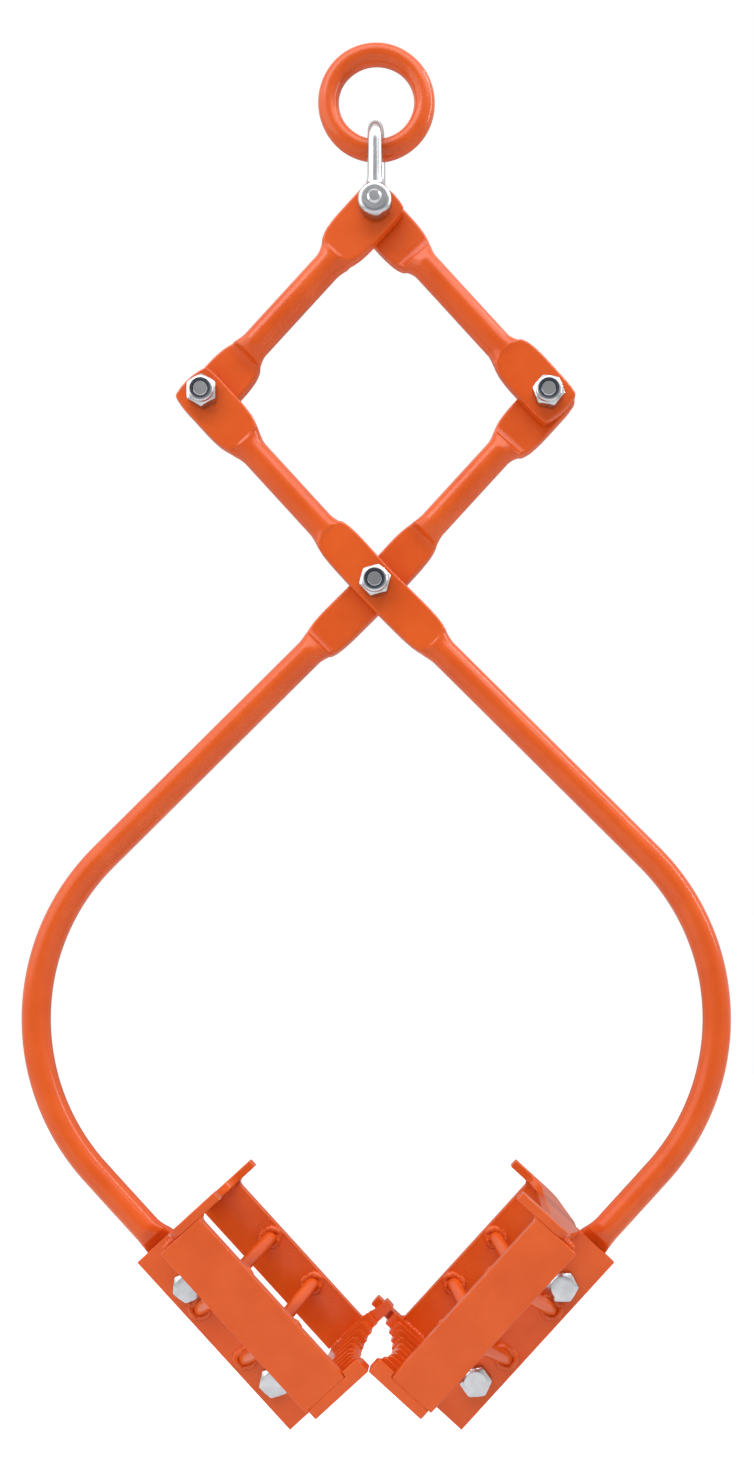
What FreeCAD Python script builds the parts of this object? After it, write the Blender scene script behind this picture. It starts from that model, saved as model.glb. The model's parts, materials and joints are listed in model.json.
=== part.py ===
import FreeCAD, Part
import os
import re
import Sketcher

# Lifting tongs: a ring and shackle carry two links, which carry two crossed arms with bolted jaws.
# X points right, Y away from the viewer, Z up, and the origin is the centre of the ring.

# Driving sizes, in millimetres and degrees: alias, value, meaning.
SIZES = (
    ("ring_section", 12, "thickness of the ring's round bar"),
    ("ring_diameter", 54.8, "ring, measured at the middle of its bar"),
    ("shackle_wire", 8.5, "thickness of the shackle's bow"),
    ("shackle_eye_diameter", 19, "outside of a shackle eye"),
    ("shackle_eye_thickness", 9.4, "shackle eye, along the pin"),
    ("shackle_seat_gap", 0.3, "clearance between the bow and the ring"),
    ("shackle_side_gap", 0.35, "clearance between an eye and the link beside it"),
    ("pin_drop", 62.7, "from the ring's centre down to the shackle pin"),
    ("pin_diameter", 8, "shackle pin"),
    ("pin_head_diameter", 12, "collar of the shackle pin"),
    ("pin_head_length", 3, "collar of the shackle pin, along the pin"),
    ("pin_tab_width", 13, "flat eye on the pin's head, across"),
    ("pin_tab_length", 13, "flat eye on the pin's head, along the pin"),
    ("pin_tab_thickness", 4.5, "flat eye on the pin's head"),
    ("pin_tab_hole", 4, "hole in the pin's flat eye"),
    ("pin_end_length", 1.2, "pin past the front eye"),
    ("running_clearance", 0.05, "radial clearance of a pin or bolt in its hole"),
    ("link_length", 144.5, "between the two pivots of a link, and from an arm's end to its centre"),
    ("link_angle", 42.5, "links from the vertical, closed"),
    ("rod_diameter", 16, "round bar of the links and arms"),
    ("flat_thickness", 7, "forged flat"),
    ("lap_gap", 0.3, "clearance between two flats on one pivot"),
    ("flat_corner", 1.4, "rounding along a flat's edges"),
    ("flat_width", 26.5, "forged flat at an end"),
    ("flat_run", 29, "from an end pivot to where its flat starts to narrow"),
    ("flat_overhang", 12.5, "from an end pivot to the end of its flat"),
    ("flat_end_radius", 26, "rounding of a flat's end, seen from the front"),
    ("centre_width", 23, "forged flat at the centre pivot"),
    ("centre_upper_run", 34.5, "from the centre pivot up to where its flat narrows"),
    ("centre_lower_run", 41.5, "from the centre pivot down to where its flat narrows"),
    ("centre_overlap", 12, "each half of the centre flat past the pivot"),
    ("neck_length", 13, "from a full flat to the full round bar"),
    ("leg_angle", 45.2, "arms below the centre, from the vertical"),
    ("leg_run", 219.7, "from the centre pivot to the bend"),
    ("bend_radius", 130.2, "bend of an arm, at the middle of its bar"),
    ("tail_run", 56.4, "from the bend to the top of the jaw"),
    ("tail_step", 3, "from the top of the jaw up to the end of the flat tail"),
    ("tail_width", 20, "flat tail that carries the jaw"),
    ("tail_length", 114, "flat tail below the top of the jaw"),
    ("jaw_angle", 42.4, "jaws from the vertical"),
    ("jaw_width", 124, "jaw, from front to rear"),
    ("bar_thickness", 6, "flat bars of the jaw"),
    ("bar_width", 28, "flat bars of the jaw"),
    ("middle_bar_length", 128.5, "middle bar"),
    ("middle_bar_outer", 15.3, "from the tail's middle out to the middle bar's edge"),
    ("side_bar_step", 2.3, "from the middle bar's inner edge to the side bars' outer edges"),
    ("top_plate_thickness", 5, "plate across the top of the jaw"),
    ("plate_base_width", 30, "top plate and lip where they meet the middle bar"),
    ("top_shoulder", 12, "top plate's shoulder, in from the middle bar"),
    ("top_shoulder_radius", 10, "rounding of the top plate's shoulder"),
    ("top_bridge", 24, "top plate between its prongs, in from the middle bar"),
    ("top_notch_radius", 9, "rounding in the notch between the prongs"),
    ("top_prong_reach", 14.5, "top prongs past the side bars"),
    ("prong_width", 8, "prongs, from front to rear"),
    ("lip_drop", 119, "from the top of the jaw to the middle of the lip"),
    ("lip_thickness", 6, "lip across the bottom of the jaw"),
    ("lip_shoulder", 4, "lip's shoulder, in from the middle bar"),
    ("lip_bite", 11, "depth of the lip's hollow edge"),
    ("lip_bite_radius", 138, "curve of the lip's hollow edge"),
    ("tip_gap", 0.66, "between the two front tips, closed"),
    ("prong_cross", 7, "rear prongs past the middle, closed"),
    ("prong_stagger", 0.6, "clearance between the crossed rear prongs"),
    ("tooth_height", 3.2, "gripping teeth"),
    ("tooth_bed", 1, "root of the teeth, sunk in the lip"),
    ("tooth_margin", 9, "from the lip's ends to the first and last tooth"),
    ("tooth_run", 26, "length of a tooth's ridge"),
    ("brace_diameter", 8, "round braces of the jaw"),
    ("brace_first", 41, "from the top of the jaw to the upper braces"),
    ("brace_pitch", 38, "from the upper braces to the lower ones"),
    ("brace_inset", 8, "from the side bars' inner edges to the braces"),
    ("front_brace_foot", 9.5, "front braces' feet, from the middle bar's outer edge"),
    ("bolt_diameter", 10, "pivot and jaw bolts"),
    ("hex_across", 16, "bolt heads and nuts, across the flats"),
    ("bolt_head_height", 6.4, "bolt heads"),
    ("nut_height", 9, "nuts"),
    ("bolt_end_length", 1.4, "bolt past its nut"),
    ("insert_diameter", 13, "locking ring in a pivot nut, outside"),
    ("insert_height", 2.6, "locking ring in a pivot nut"),
    ("pivot_side_gap", 0.15, "clearance beside a turning flat"),
    ("jaw_bolt_first", 27, "from the top of the jaw to its upper bolt"),
    ("jaw_bolt_pitch", 72.5, "between the jaw's two bolts"),
    ("jaw_bolt_offset", 2, "jaw bolts, out from the tail's middle"),
    ("overrun", 5, "cutting shapes past what they cut"),
)
TOOTH_COUNT = 9
# Along a neck: place, narrowing of the width and thickening to the bar, which is a short steep shoulder.
NECK_SHARES = ((0, 0, 0), (0.3, 0.2, 0.12), (0.5, 0.5, 0.6), (0.75, 0.86, 0.94))
NECK_CORNER_SHARE = 0.9
# Points round a bar, two to each of the eight edges that its section has.
BAR_POINTS = 16

document = FreeCAD.newDocument("lifting_tongs")
sheet = document.addObject("Spreadsheet::Sheet", "Sizes")
for row, (alias, number, meaning) in enumerate(SIZES, start=1):
    sheet.set(f"A{row}", meaning)
    sheet.set(f"B{row}", str(number))
    sheet.setAlias(f"B{row}", alias)
document.recompute()

ALIASES = re.compile(r"\b(" + "|".join(alias for alias, number, meaning in SIZES) + r")\b")
PIECES = []


def bound(text):
    """Formula with each size read from the sheet."""
    return ALIASES.sub(r"Sizes.\1", text)


def value(text):
    """Number that a formula of sizes gives."""
    return float(sheet.evalExpression(text))


def add(kind, name, place=None, **sizes):
    """Document object whose place and sizes are formulas."""
    made = document.addObject(kind, name)
    for size, text in sizes.items():
        made.setExpression(size, bound(text))
    if place:
        made.setExpression("Placement", bound(place))
    return made


def piece(made, label):
    """Finished sub-part under its own name."""
    made.Label = label
    PIECES.append(made)
    return made


def frame(x, z, turn):
    """Frame in the plane of the tongs: x along the piece, y across it, z to the front."""
    turned = f"rotation(vector(0; 1; 0); {turn}) * rotation(vector(1; 0; 0); 90)"
    return f"placement(vector({x}; 0; {z}); {turned})"


def inside(base, x, y, z, axis="0; 0; 1", angle="0"):
    """Place given in another frame."""
    return f"{base} * placement(vector({x}; {y}; {z}); rotation(vector({axis}); {angle}))"


def along(base, start):
    """Place of a cylinder that runs along a frame's x."""
    return inside(base, start, "0", "0", "0; 1; 0", "90")


def fuse(name, shapes):
    made = add("Part::MultiFuse", name)
    made.Shapes = shapes
    made.Refine = True
    return made


def cut(name, base, tools):
    for tool in tools:
        made = add("Part::Cut", name)
        made.Base = base
        made.Tool = tool
        base = made
    return base


def common(name, first, second):
    made = add("Part::Common", name)
    made.Base = first
    made.Tool = second
    return made


def outline(name, points, place, depth):
    """Straight-sided outline, whose corners are formulas, drawn in a frame's x and y and extruded."""
    sketch = add("Sketcher::SketchObject", name + "_outline", place)
    corners = [FreeCAD.Vector(value(x), value(y), 0) for x, y in points]
    for index, corner in enumerate(corners):
        sketch.addGeometry(Part.LineSegment(corner, corners[(index + 1) % len(corners)]))
    for index, (x, y) in enumerate(points):
        following = (index + 1) % len(points)
        sketch.addConstraint(Sketcher.Constraint("Coincident", index, 2, following, 1))
        for kind, text in (("DistanceX", x), ("DistanceY", y)):
            number = sketch.addConstraint(Sketcher.Constraint(kind, -1, 1, index, 1, value(text)))
            sketch.setExpression(f"Constraints[{number}]", bound(text))
    solid = add("Part::Extrusion", name, LengthFwd=depth)
    solid.Base = sketch
    solid.DirMode = "Normal"
    solid.Solid = True
    document.recompute()
    return solid


def rounded(name, solid, place, corners, radius, depth):
    """Extruded outline, drawn at a place, with some of its corners rounded."""
    middles = [place.multVec(FreeCAD.Vector(value(x), value(y), value(depth) / 2)) for x, y in corners]
    chosen = []
    for number, edge in enumerate(solid.Shape.Edges, start=1):
        if any(edge.CenterOfMass.isEqual(middle, value(f"{depth} / 1000")) for middle in middles):
            chosen.append((number, value(radius), value(radius)))
    made = add("Part::Fillet", name)
    made.Base = solid
    made.Edges = chosen
    document.recompute()
    return made


# Places that several pieces share.
PIN_Z = "-pin_drop"
PIVOT_X = "link_length * sin(link_angle)"
PIVOT_Z = "(-pin_drop - link_length * cos(link_angle))"
CENTRE_Z = "(-pin_drop - 2 * link_length * cos(link_angle))"
BEND_X = "(leg_run * sin(leg_angle) - bend_radius * cos(leg_angle))"
BEND_Z = f"({CENTRE_Z} - leg_run * cos(leg_angle) - bend_radius * sin(leg_angle))"
JAW_X = f"({BEND_X} + bend_radius * cos(jaw_angle) - tail_run * sin(jaw_angle))"
JAW_Z = f"({BEND_Z} - bend_radius * sin(jaw_angle) - tail_run * cos(jaw_angle))"
FLAT_BACK = "lap_gap / 2"
FLAT_FACE = "(lap_gap / 2 + flat_thickness)"
BOLT_HOLE = "bolt_diameter / 2 + running_clearance"
CORNER_RADIUS = "hex_across / 2 / cos(30)"

# The left jaw's frame: x down along the jaw, y in towards the gap, z to the front.
JAW = frame(f"-{JAW_X}", JAW_Z, "90 - jaw_angle")
BAR_INNER = "(bar_width - middle_bar_outer)"
SIDE_OUTER = f"({BAR_INNER} + side_bar_step)"
SIDE_INNER = f"({SIDE_OUTER} + bar_width)"
LIP_TOP = "(lip_drop - lip_thickness / 2)"
LIP_BOTTOM = "(lip_drop + lip_thickness / 2)"
FRONT_TIP = f"(({JAW_X} - {LIP_BOTTOM} * sin(jaw_angle) - tip_gap / 2) / cos(jaw_angle))"


def section(x, width, thickness, corner, offset):
    """Rounded oblong across a bar at x, in eight edges from the same corner on."""
    wide = width / 2 - corner
    high = thickness / 2 - corner
    arms = ((wide, high), (-wide, high), (-wide, -high), (wide, -high))
    bend = corner / 2 ** 0.5
    turns = ((1, 0, 0, 1), (0, 1, -1, 0), (-1, 0, 0, -1), (0, -1, 1, 0))
    arcs = []
    for (y, z), (start_y, start_z, end_y, end_z) in zip(arms, turns):
        start = FreeCAD.Vector(x, y + corner * start_y, offset + z + corner * start_z)
        middle = FreeCAD.Vector(x, y + bend * (start_y + end_y), offset + z + bend * (start_z + end_z))
        end = FreeCAD.Vector(x, y + corner * end_y, offset + z + corner * end_z)
        arcs.append(Part.Arc(start, middle, end).toShape())
    edges = []
    for arc, following in zip(arcs, arcs[1:] + arcs[:1]):
        edges.append(arc)
        edges.append(Part.LineSegment(arc.Vertexes[-1].Point, following.Vertexes[0].Point).toShape())
    return Part.Wire(edges)


def bar_section(x, radius):
    """Round bar at x, cut into the same eight edges as a flat."""
    axis = FreeCAD.Vector(1, 0, 0)
    start = FreeCAD.Vector(x, radius, 0)
    points = [FreeCAD.Rotation(axis, 360 * step / BAR_POINTS).multVec(start) for step in range(BAR_POINTS)]
    edges = []
    for first in range(0, BAR_POINTS, 2):
        arc = Part.Arc(points[first], points[first + 1], points[(first + 2) % BAR_POINTS])
        edges.append(arc.toShape())
    return Part.Wire(edges)


def forged_flat(name, place, width, run, overhang, back, end_radius=None):
    """Flat forged on a bar: a plate from past the pivot, then a neck with a shoulder to the round bar."""
    wide, thick, corner = value(width), value("flat_thickness"), value("flat_corner")
    step, neck, radius = value(run), value("neck_length"), value("rod_diameter / 2")
    offset = value(back) + thick / 2
    plate = Part.Face(section(-value(overhang), wide, thick, corner, offset))
    plate = plate.extrude(FreeCAD.Vector(value(overhang) + step, 0, 0))
    if end_radius:
        round_end = value(end_radius)
        foot = FreeCAD.Vector(round_end - value(overhang), 0, offset - thick)
        longer = Part.makeCylinder(round_end, 2 * thick, foot)
        rest = Part.makeBox(step, wide, 2 * thick, FreeCAD.Vector(0, -wide / 2, offset - thick))
        plate = plate.common(longer.fuse(rest))
    wires = []
    for place_share, narrow_share, thick_share in NECK_SHARES:
        wires.append(section(step + place_share * neck, wide + narrow_share * (2 * radius - wide),
                             thick + thick_share * (2 * radius - thick),
                             corner + thick_share * (NECK_CORNER_SHARE * radius - corner),
                             offset * (1 - thick_share)))
    wires.append(bar_section(step + neck, radius))
    made = add("Part::Feature", name)
    made.Shape = plate.fuse(Part.makeLoft(wires, True)).removeSplitter()
    made.setExpression("Placement", bound(place))
    return made


def end_flat(name, place, back):
    """Flat with a rounded end, at an outer pivot or the shackle pin."""
    return forged_flat(name, place, "flat_width", "flat_run", "flat_overhang", back, "flat_end_radius")


def centre_flat(place, run, back):
    """Half of the flat at the centre pivot, which runs on into the other half."""
    return forged_flat("arm_centre", place, "centre_width", run, "centre_overlap", back)


def bar(name, base, start, end):
    """Straight round bar along a frame's x."""
    return add("Part::Cylinder", name, along(base, start), Radius="rod_diameter / 2",
               Height=f"{end} - {start}")


def hole(name, base, x, y="0", radius=BOLT_HOLE):
    """Hole cutter along a frame's z."""
    depth = "flat_thickness + bar_thickness + overrun"
    return add("Part::Cylinder", name, inside(base, x, y, f"-({depth})"), Radius=radius,
               Height=f"2 * ({depth})")


def make_ring():
    made = add("Part::Torus", "ring_bar", upright("0", "0", "0", "rotation(vector(1; 0; 0); 90)"),
               Radius1="ring_diameter / 2", Radius2="ring_section / 2")
    piece(made, "ring")


def upright(x, y, z, turned="rotation(vector(0; 0; 1); 0)"):
    """Place along the tongs' own axes."""
    return f"placement(vector({x}; {y}; {z}); {turned})"


def make_shackle():
    """Bow that hangs on the ring, with an eye each side of the links, and the pin through them."""
    half_inside = f"({FLAT_FACE} + shackle_side_gap)"
    bend = f"({half_inside} + shackle_eye_thickness / 2)"
    reach = f"({bend} + shackle_eye_thickness / 2)"
    top = f"(shackle_seat_gap - ring_diameter / 2 + ring_section / 2 - {bend} + shackle_wire / 2)"
    across = "rotation(vector(0; 0; 1); 90) * rotation(vector(1; 0; 0); 90)"
    lie = "rotation(vector(1; 0; 0); -90)"
    bow = add("Part::Torus", "bow_bend", upright("0", "0", top, across), Radius1=bend,
              Radius2="shackle_wire / 2", Angle3="180")
    solids = [bow]
    for side in ("-", ""):
        leg = add("Part::Cylinder", "bow_leg", upright("0", f"{side}{bend}", PIN_Z),
                  Radius="shackle_wire / 2", Height=f"{top} - {PIN_Z}")
        start = f"({side}{bend} - shackle_eye_thickness / 2)"
        eye = add("Part::Cylinder", "bow_eye", upright("0", start, PIN_Z, lie),
                  Radius="shackle_eye_diameter / 2", Height="shackle_eye_thickness")
        solids += [leg, eye]
    bore = add("Part::Cylinder", "pin_bore", upright("0", f"-{reach} - overrun", PIN_Z, lie),
               Radius="pin_diameter / 2 + running_clearance", Height=f"2 * ({reach} + overrun)")
    piece(cut("bow", fuse("bow_solid", solids), [bore]), "shackle_bow")
    make_shackle_pin(reach, lie)


def make_shackle_pin(reach, lie):
    """Pin with a collar and a flat eye behind the rear leg of the bow."""
    head_start = f"({reach} + pivot_side_gap)"
    tab_start = f"({head_start} + pin_head_length)"
    eye_middle = f"({tab_start} + pin_tab_length - pin_tab_width / 2)"
    sideways = "rotation(vector(0; 1; 0); 90)"
    shaft = add("Part::Cylinder", "pin_shaft", upright("0", f"-{reach} - pin_end_length", PIN_Z, lie),
                Radius="pin_diameter / 2", Height=f"{reach} + pin_end_length + {head_start}")
    collar = add("Part::Cylinder", "pin_collar", upright("0", head_start, PIN_Z, lie),
                 Radius="pin_head_diameter / 2", Height="pin_head_length")
    tab = add("Part::Box", "pin_tab",
              upright("-pin_tab_thickness / 2", tab_start, f"{PIN_Z} - pin_tab_width / 2"),
              Length="pin_tab_thickness", Width="pin_tab_length - pin_tab_width / 2", Height="pin_tab_width")
    round_eye = add("Part::Cylinder", "pin_eye",
                    upright("-pin_tab_thickness / 2", eye_middle, PIN_Z, sideways),
                    Radius="pin_tab_width / 2", Height="pin_tab_thickness")
    eye_hole = add("Part::Cylinder", "pin_eye_hole",
                   upright("-pin_tab_thickness", eye_middle, PIN_Z, sideways),
                   Radius="pin_tab_hole / 2", Height="2 * pin_tab_thickness")
    piece(cut("pin", fuse("pin_solid", [shaft, collar, tab, round_eye]), [eye_hole]), "shackle_pin")


def make_link(label, turn, top_back, foot_back):
    """Upper link: flats on the front or the rear half of the bar, so that it laps its neighbours."""
    base = frame("0", PIN_Z, turn)
    far = inside(base, "link_length", "0", "0", "0; 0; 1", "180")
    ends = "(flat_run + neck_length)"
    solids = [end_flat("link_top", base, top_back),
              bar("link_bar", base, ends, f"(link_length - {ends})"),
              end_flat("link_foot", far, foot_back)]
    holes = [hole("pin_hole", base, "0", radius="pin_diameter / 2 + running_clearance"),
             hole("pivot_hole", base, "link_length")]
    piece(cut("link", fuse("link_solid", solids), holes), label)


def make_arm(label, side, back):
    """Crossed arm: from an outer pivot through the centre pivot, round the bend and down to the jaw."""
    sign = "-" if side == "left" else ""
    away = "" if side == "left" else "-"
    upper = frame(f"{away}{PIVOT_X}", PIVOT_Z, f"90 {'+' if sign else '-'} link_angle")
    upper_end = inside(upper, "link_length", "0", "0", "0; 0; 1", "180")
    leg = frame("0", CENTRE_Z, f"90 {'+' if sign else '-'} leg_angle")
    jaw = frame(f"{sign}{JAW_X}", JAW_Z, f"90 {'-' if sign else '+'} jaw_angle")
    tail = inside(jaw, "0", "0", "0", "1; 0; 0", "180")
    tail_up = inside(tail, "tail_length", "0", "0", "0; 0; 1", "180")
    bend = frame(f"{sign}{BEND_X}", BEND_Z, "180 + leg_angle" if sign else "jaw_angle")
    ends = "(flat_run + neck_length)"
    solids = [end_flat("arm_top", upper, back),
              bar("arm_upper_bar", upper, ends, "(link_length - centre_upper_run - neck_length)"),
              centre_flat(upper_end, "centre_upper_run", back),
              centre_flat(leg, "centre_lower_run", back),
              bar("arm_leg", leg, "(centre_lower_run + neck_length)", "leg_run"),
              add("Part::Torus", "arm_bend", bend, Radius1="bend_radius", Radius2="rod_diameter / 2",
                  Angle3="leg_angle + jaw_angle"),
              bar("arm_tail", jaw, "(-tail_run)", "(-tail_step - neck_length)"),
              forged_flat("arm_foot", tail_up, "tail_width", "tail_length + tail_step", "0", "0")]
    holes = [hole("pivot_hole", upper, "0"), hole("centre_hole", leg, "0")]
    inward = "-" if sign else ""
    for place in ("jaw_bolt_first", "jaw_bolt_first + jaw_bolt_pitch"):
        holes.append(hole("jaw_hole", jaw, place, f"{inward}jaw_bolt_offset"))
    piece(cut("arm", fuse("arm_solid", solids), holes), label)


def hex_bolt(label, place, grip):
    """Hexagon bolt: its head lies under the frame's z = 0 and its shank stands on it."""
    head = add("Part::Prism", "bolt_head", inside(place, "0", "0", "-bolt_head_height"),
               Circumradius=CORNER_RADIUS, Height="bolt_head_height")
    shank = add("Part::Cylinder", "bolt_shank", place, Radius="bolt_diameter / 2",
                Height=f"{grip} + nut_height + bolt_end_length")
    return piece(fuse("bolt", [head, shank]), label)


def hex_nut(label, place, seat=False):
    """Hexagon nut, with a round seat for a locking ring in its outer face where one is asked for."""
    body = add("Part::Prism", "nut_body", place, Circumradius=CORNER_RADIUS, Height="nut_height")
    tools = [add("Part::Cylinder", "nut_bore", inside(place, "0", "0", "-overrun"), Radius=BOLT_HOLE,
                 Height="nut_height + 2 * overrun")]
    if seat:
        tools.append(add("Part::Cylinder", "nut_seat", inside(place, "0", "0", "nut_height - insert_height"),
                         Radius="insert_diameter / 2 + running_clearance", Height="insert_height + overrun"))
    return piece(cut("nut", body, tools), label)


def make_pivot(name, x, z, front_gap, rear_gap):
    """Pivot bolt from behind, lock nut in front and the ring that locks it."""
    base = frame(x, z, "0")
    grip = f"2 * {FLAT_FACE} + {front_gap} + {rear_gap}"
    rear = inside(base, "0", "0", f"-{FLAT_FACE} - {rear_gap}")
    front = inside(base, "0", "0", f"{FLAT_FACE} + {front_gap}")
    hex_bolt(name + "_bolt", rear, grip)
    hex_nut(name + "_nut", front, seat=True)
    top = inside(base, "0", "0", f"{FLAT_FACE} + {front_gap} + nut_height - insert_height")
    ring = add("Part::Cylinder", "insert_ring", top, Radius="insert_diameter / 2", Height="insert_height")
    bore = add("Part::Cylinder", "insert_bore", top, Radius=BOLT_HOLE, Height="insert_height + overrun")
    piece(cut("insert", ring, [bore]), name + "_insert")


def flat_bar(label, start, length, across, back):
    """Flat bar of the left jaw, which stands to the front of the depth given as back."""
    made = add("Part::Box", "flat_bar", inside(JAW, start, across, back), Length=length, Width="bar_width",
               Height="bar_thickness")
    return made if label is None else piece(made, label)


def make_bars():
    middle = flat_bar(None, "-top_plate_thickness / 2", "middle_bar_length", "-middle_bar_outer", "0")
    holes = [hole("bar_hole", JAW, place, "-jaw_bolt_offset")
             for place in ("jaw_bolt_first", "jaw_bolt_first + jaw_bolt_pitch")]
    piece(cut("middle", middle, holes), "left_middle_bar")
    start = "top_plate_thickness / 2"
    length = f"{LIP_TOP} - {start}"
    flat_bar("left_front_bar", start, length, SIDE_OUTER, "jaw_width / 2 - bar_thickness")
    flat_bar("left_rear_bar", start, length, SIDE_OUTER, "-jaw_width / 2")


def both_ends(points):
    """Outline that is the same at the front and the rear, from its front half."""
    return points + [(x, f"-({y})") for x, y in reversed(points)]


def make_top_plate():
    """Forked plate across the top: a narrow base at the arm, wide shoulders and two prongs."""
    shoulder = (f"{BAR_INNER} + top_shoulder", "jaw_width / 2")
    notch = (f"{BAR_INNER} + top_bridge", "jaw_width / 2 - prong_width")
    tip = f"{SIDE_INNER} + top_prong_reach"
    half = [(BAR_INNER, "plate_base_width / 2"), shoulder, (tip, "jaw_width / 2"),
            (tip, "jaw_width / 2 - prong_width"), notch]
    place = inside(JAW, "-top_plate_thickness / 2", "0", "0", "1; 1; 1", "120")
    plate = outline("top_plate", both_ends(half), place, "top_plate_thickness")
    drawn = plate.Base.Placement
    plate = rounded("top_plate_shoulders", plate, drawn, both_ends([shoulder]), "top_shoulder_radius",
                    "top_plate_thickness")
    plate = rounded("top_plate_notch", plate, drawn, both_ends([notch]), "top_notch_radius",
                    "top_plate_thickness")
    piece(plate, "left_top_plate")


def make_lip(rear_inset):
    """Toothed lip across the bottom: two prongs, a hollow edge between them and ridges along it."""
    rear_tip = f"({FRONT_TIP} + (prong_cross + tip_gap / 2) / cos(jaw_angle))"
    front = "(jaw_width / 2 - prong_width)"
    rear = f"(jaw_width / 2 - {rear_inset})"
    rear_inner = f"-({rear} - prong_width)"
    shoulder = f"{BAR_INNER} + lip_shoulder"
    points = [(BAR_INNER, "plate_base_width / 2"), (shoulder, "jaw_width / 2"),
              (FRONT_TIP, "jaw_width / 2"), (FRONT_TIP, rear_inner),
              (rear_tip, rear_inner), (rear_tip, f"-{rear}")]
    if rear_inset != "0":
        points += [(SIDE_INNER, f"-{rear}"), (SIDE_INNER, "-jaw_width / 2")]
    points += [(shoulder, "-jaw_width / 2"), (BAR_INNER, "-plate_base_width / 2")]
    place = inside(JAW, LIP_TOP, "0", "0", "1; 1; 1", "120")
    plate = outline("lip_plate", points, place, "lip_thickness")
    first, last = "(-jaw_width / 2 + tooth_margin)", "(jaw_width / 2 - tooth_margin)"
    profile = []
    for tooth in range(TOOTH_COUNT):
        at = f"({first} + {tooth} * ({last} - {first}) / {TOOTH_COUNT})"
        profile += [(at, LIP_TOP), (at, f"{LIP_TOP} - tooth_height")]
    profile += [(last, LIP_TOP), (last, f"{LIP_TOP} + tooth_bed"), (first, f"{LIP_TOP} + tooth_bed")]
    ridge_place = inside(JAW, "0", f"{FRONT_TIP} - tooth_run", "0", "1; 1; 1", "240")
    ridges = outline("lip_ridges", profile, ridge_place, "tooth_run")
    bite_start = f"{LIP_TOP} - tooth_height - overrun"
    bite_depth = "lip_thickness + tooth_height + 2 * overrun"
    bite_middle = f"{FRONT_TIP} - lip_bite + lip_bite_radius"
    bite = add("Part::Cylinder", "lip_bite_round", inside(JAW, bite_start, bite_middle, "0", "0; 1; 0", "90"),
               Radius="lip_bite_radius", Height=bite_depth)
    span = add("Part::Box", "lip_bite_span", inside(JAW, bite_start, SIDE_OUTER, rear_inner),
               Length=bite_depth, Width="lip_bite_radius", Height=f"{front} - {rear_inner}")
    return cut("lip", fuse("lip_solid", [plate, ridges]), [common("lip_bite", bite, span)])


def mirrored(source):
    made = add("Part::Mirroring", "mirror")
    made.Source = source
    made.Normal = FreeCAD.Vector(1, 0, 0)
    return made


def make_brace(label, down, facing):
    """Round brace from a side bar to the middle bar, trimmed flat on both."""
    head = f"({SIDE_INNER} - brace_inset)"
    bar_face = "(jaw_width / 2 - bar_thickness)"
    front = facing == "front"
    foot = "(front_brace_foot - middle_bar_outer)" if front else BAR_INNER
    rise = f"({head} - {foot})"
    span = f"({bar_face} - bar_thickness)" if front else f"({bar_face} + bar_thickness / 2)"
    lean = f"atan({rise} / {span})"
    start = inside(JAW, down, head, bar_face if front else f"-{bar_face}", "1; 0; 0",
                   f"180deg - {lean}" if front else lean)
    rod = add("Part::Cylinder", "brace_rod", inside(start, "0", "0", "-brace_diameter"),
              Radius="brace_diameter / 2", Height=f"sqrt({rise}^2 + {span}^2) + 3 * brace_diameter")
    low, deep = ("-bar_width", "bar_thickness") if front else (BAR_INNER, f"-{bar_face}")
    trim = add("Part::Box", "brace_trim", inside(JAW, f"{down} - brace_diameter", low, deep),
               Length="2 * brace_diameter", Width="3 * bar_width",
               Height=f"{bar_face} - bar_thickness" if front else "jaw_width")
    piece(common("brace", rod, trim), label)


def make_left_jaw():
    make_bars()
    make_top_plate()
    for level, down in (("upper", "brace_first"), ("lower", "(brace_first + brace_pitch)")):
        for facing in ("front", "rear"):
            make_brace(f"left_{facing}_{level}_brace", down, facing)
    for level, down in (("upper", "jaw_bolt_first"), ("lower", "(jaw_bolt_first + jaw_bolt_pitch)")):
        turned = ("1; 0; 0", "180")
        hex_bolt(f"left_{level}_jaw_bolt", inside(JAW, down, "-jaw_bolt_offset", "bar_thickness", *turned),
                 "bar_thickness + flat_thickness")
        hex_nut(f"left_{level}_jaw_nut", inside(JAW, down, "-jaw_bolt_offset", "-flat_thickness", *turned))


def make_jaws():
    """Left jaw, its mirror image on the right, and the two lips, whose rear prongs pass each other."""
    first = len(PIECES)
    make_left_jaw()
    for source in PIECES[first:]:
        piece(mirrored(source), source.Label.replace("left_", "right_"))
    piece(make_lip("(prong_width + prong_stagger)"), "left_toothed_lip")
    piece(mirrored(make_lip("0")), "right_toothed_lip")


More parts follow.
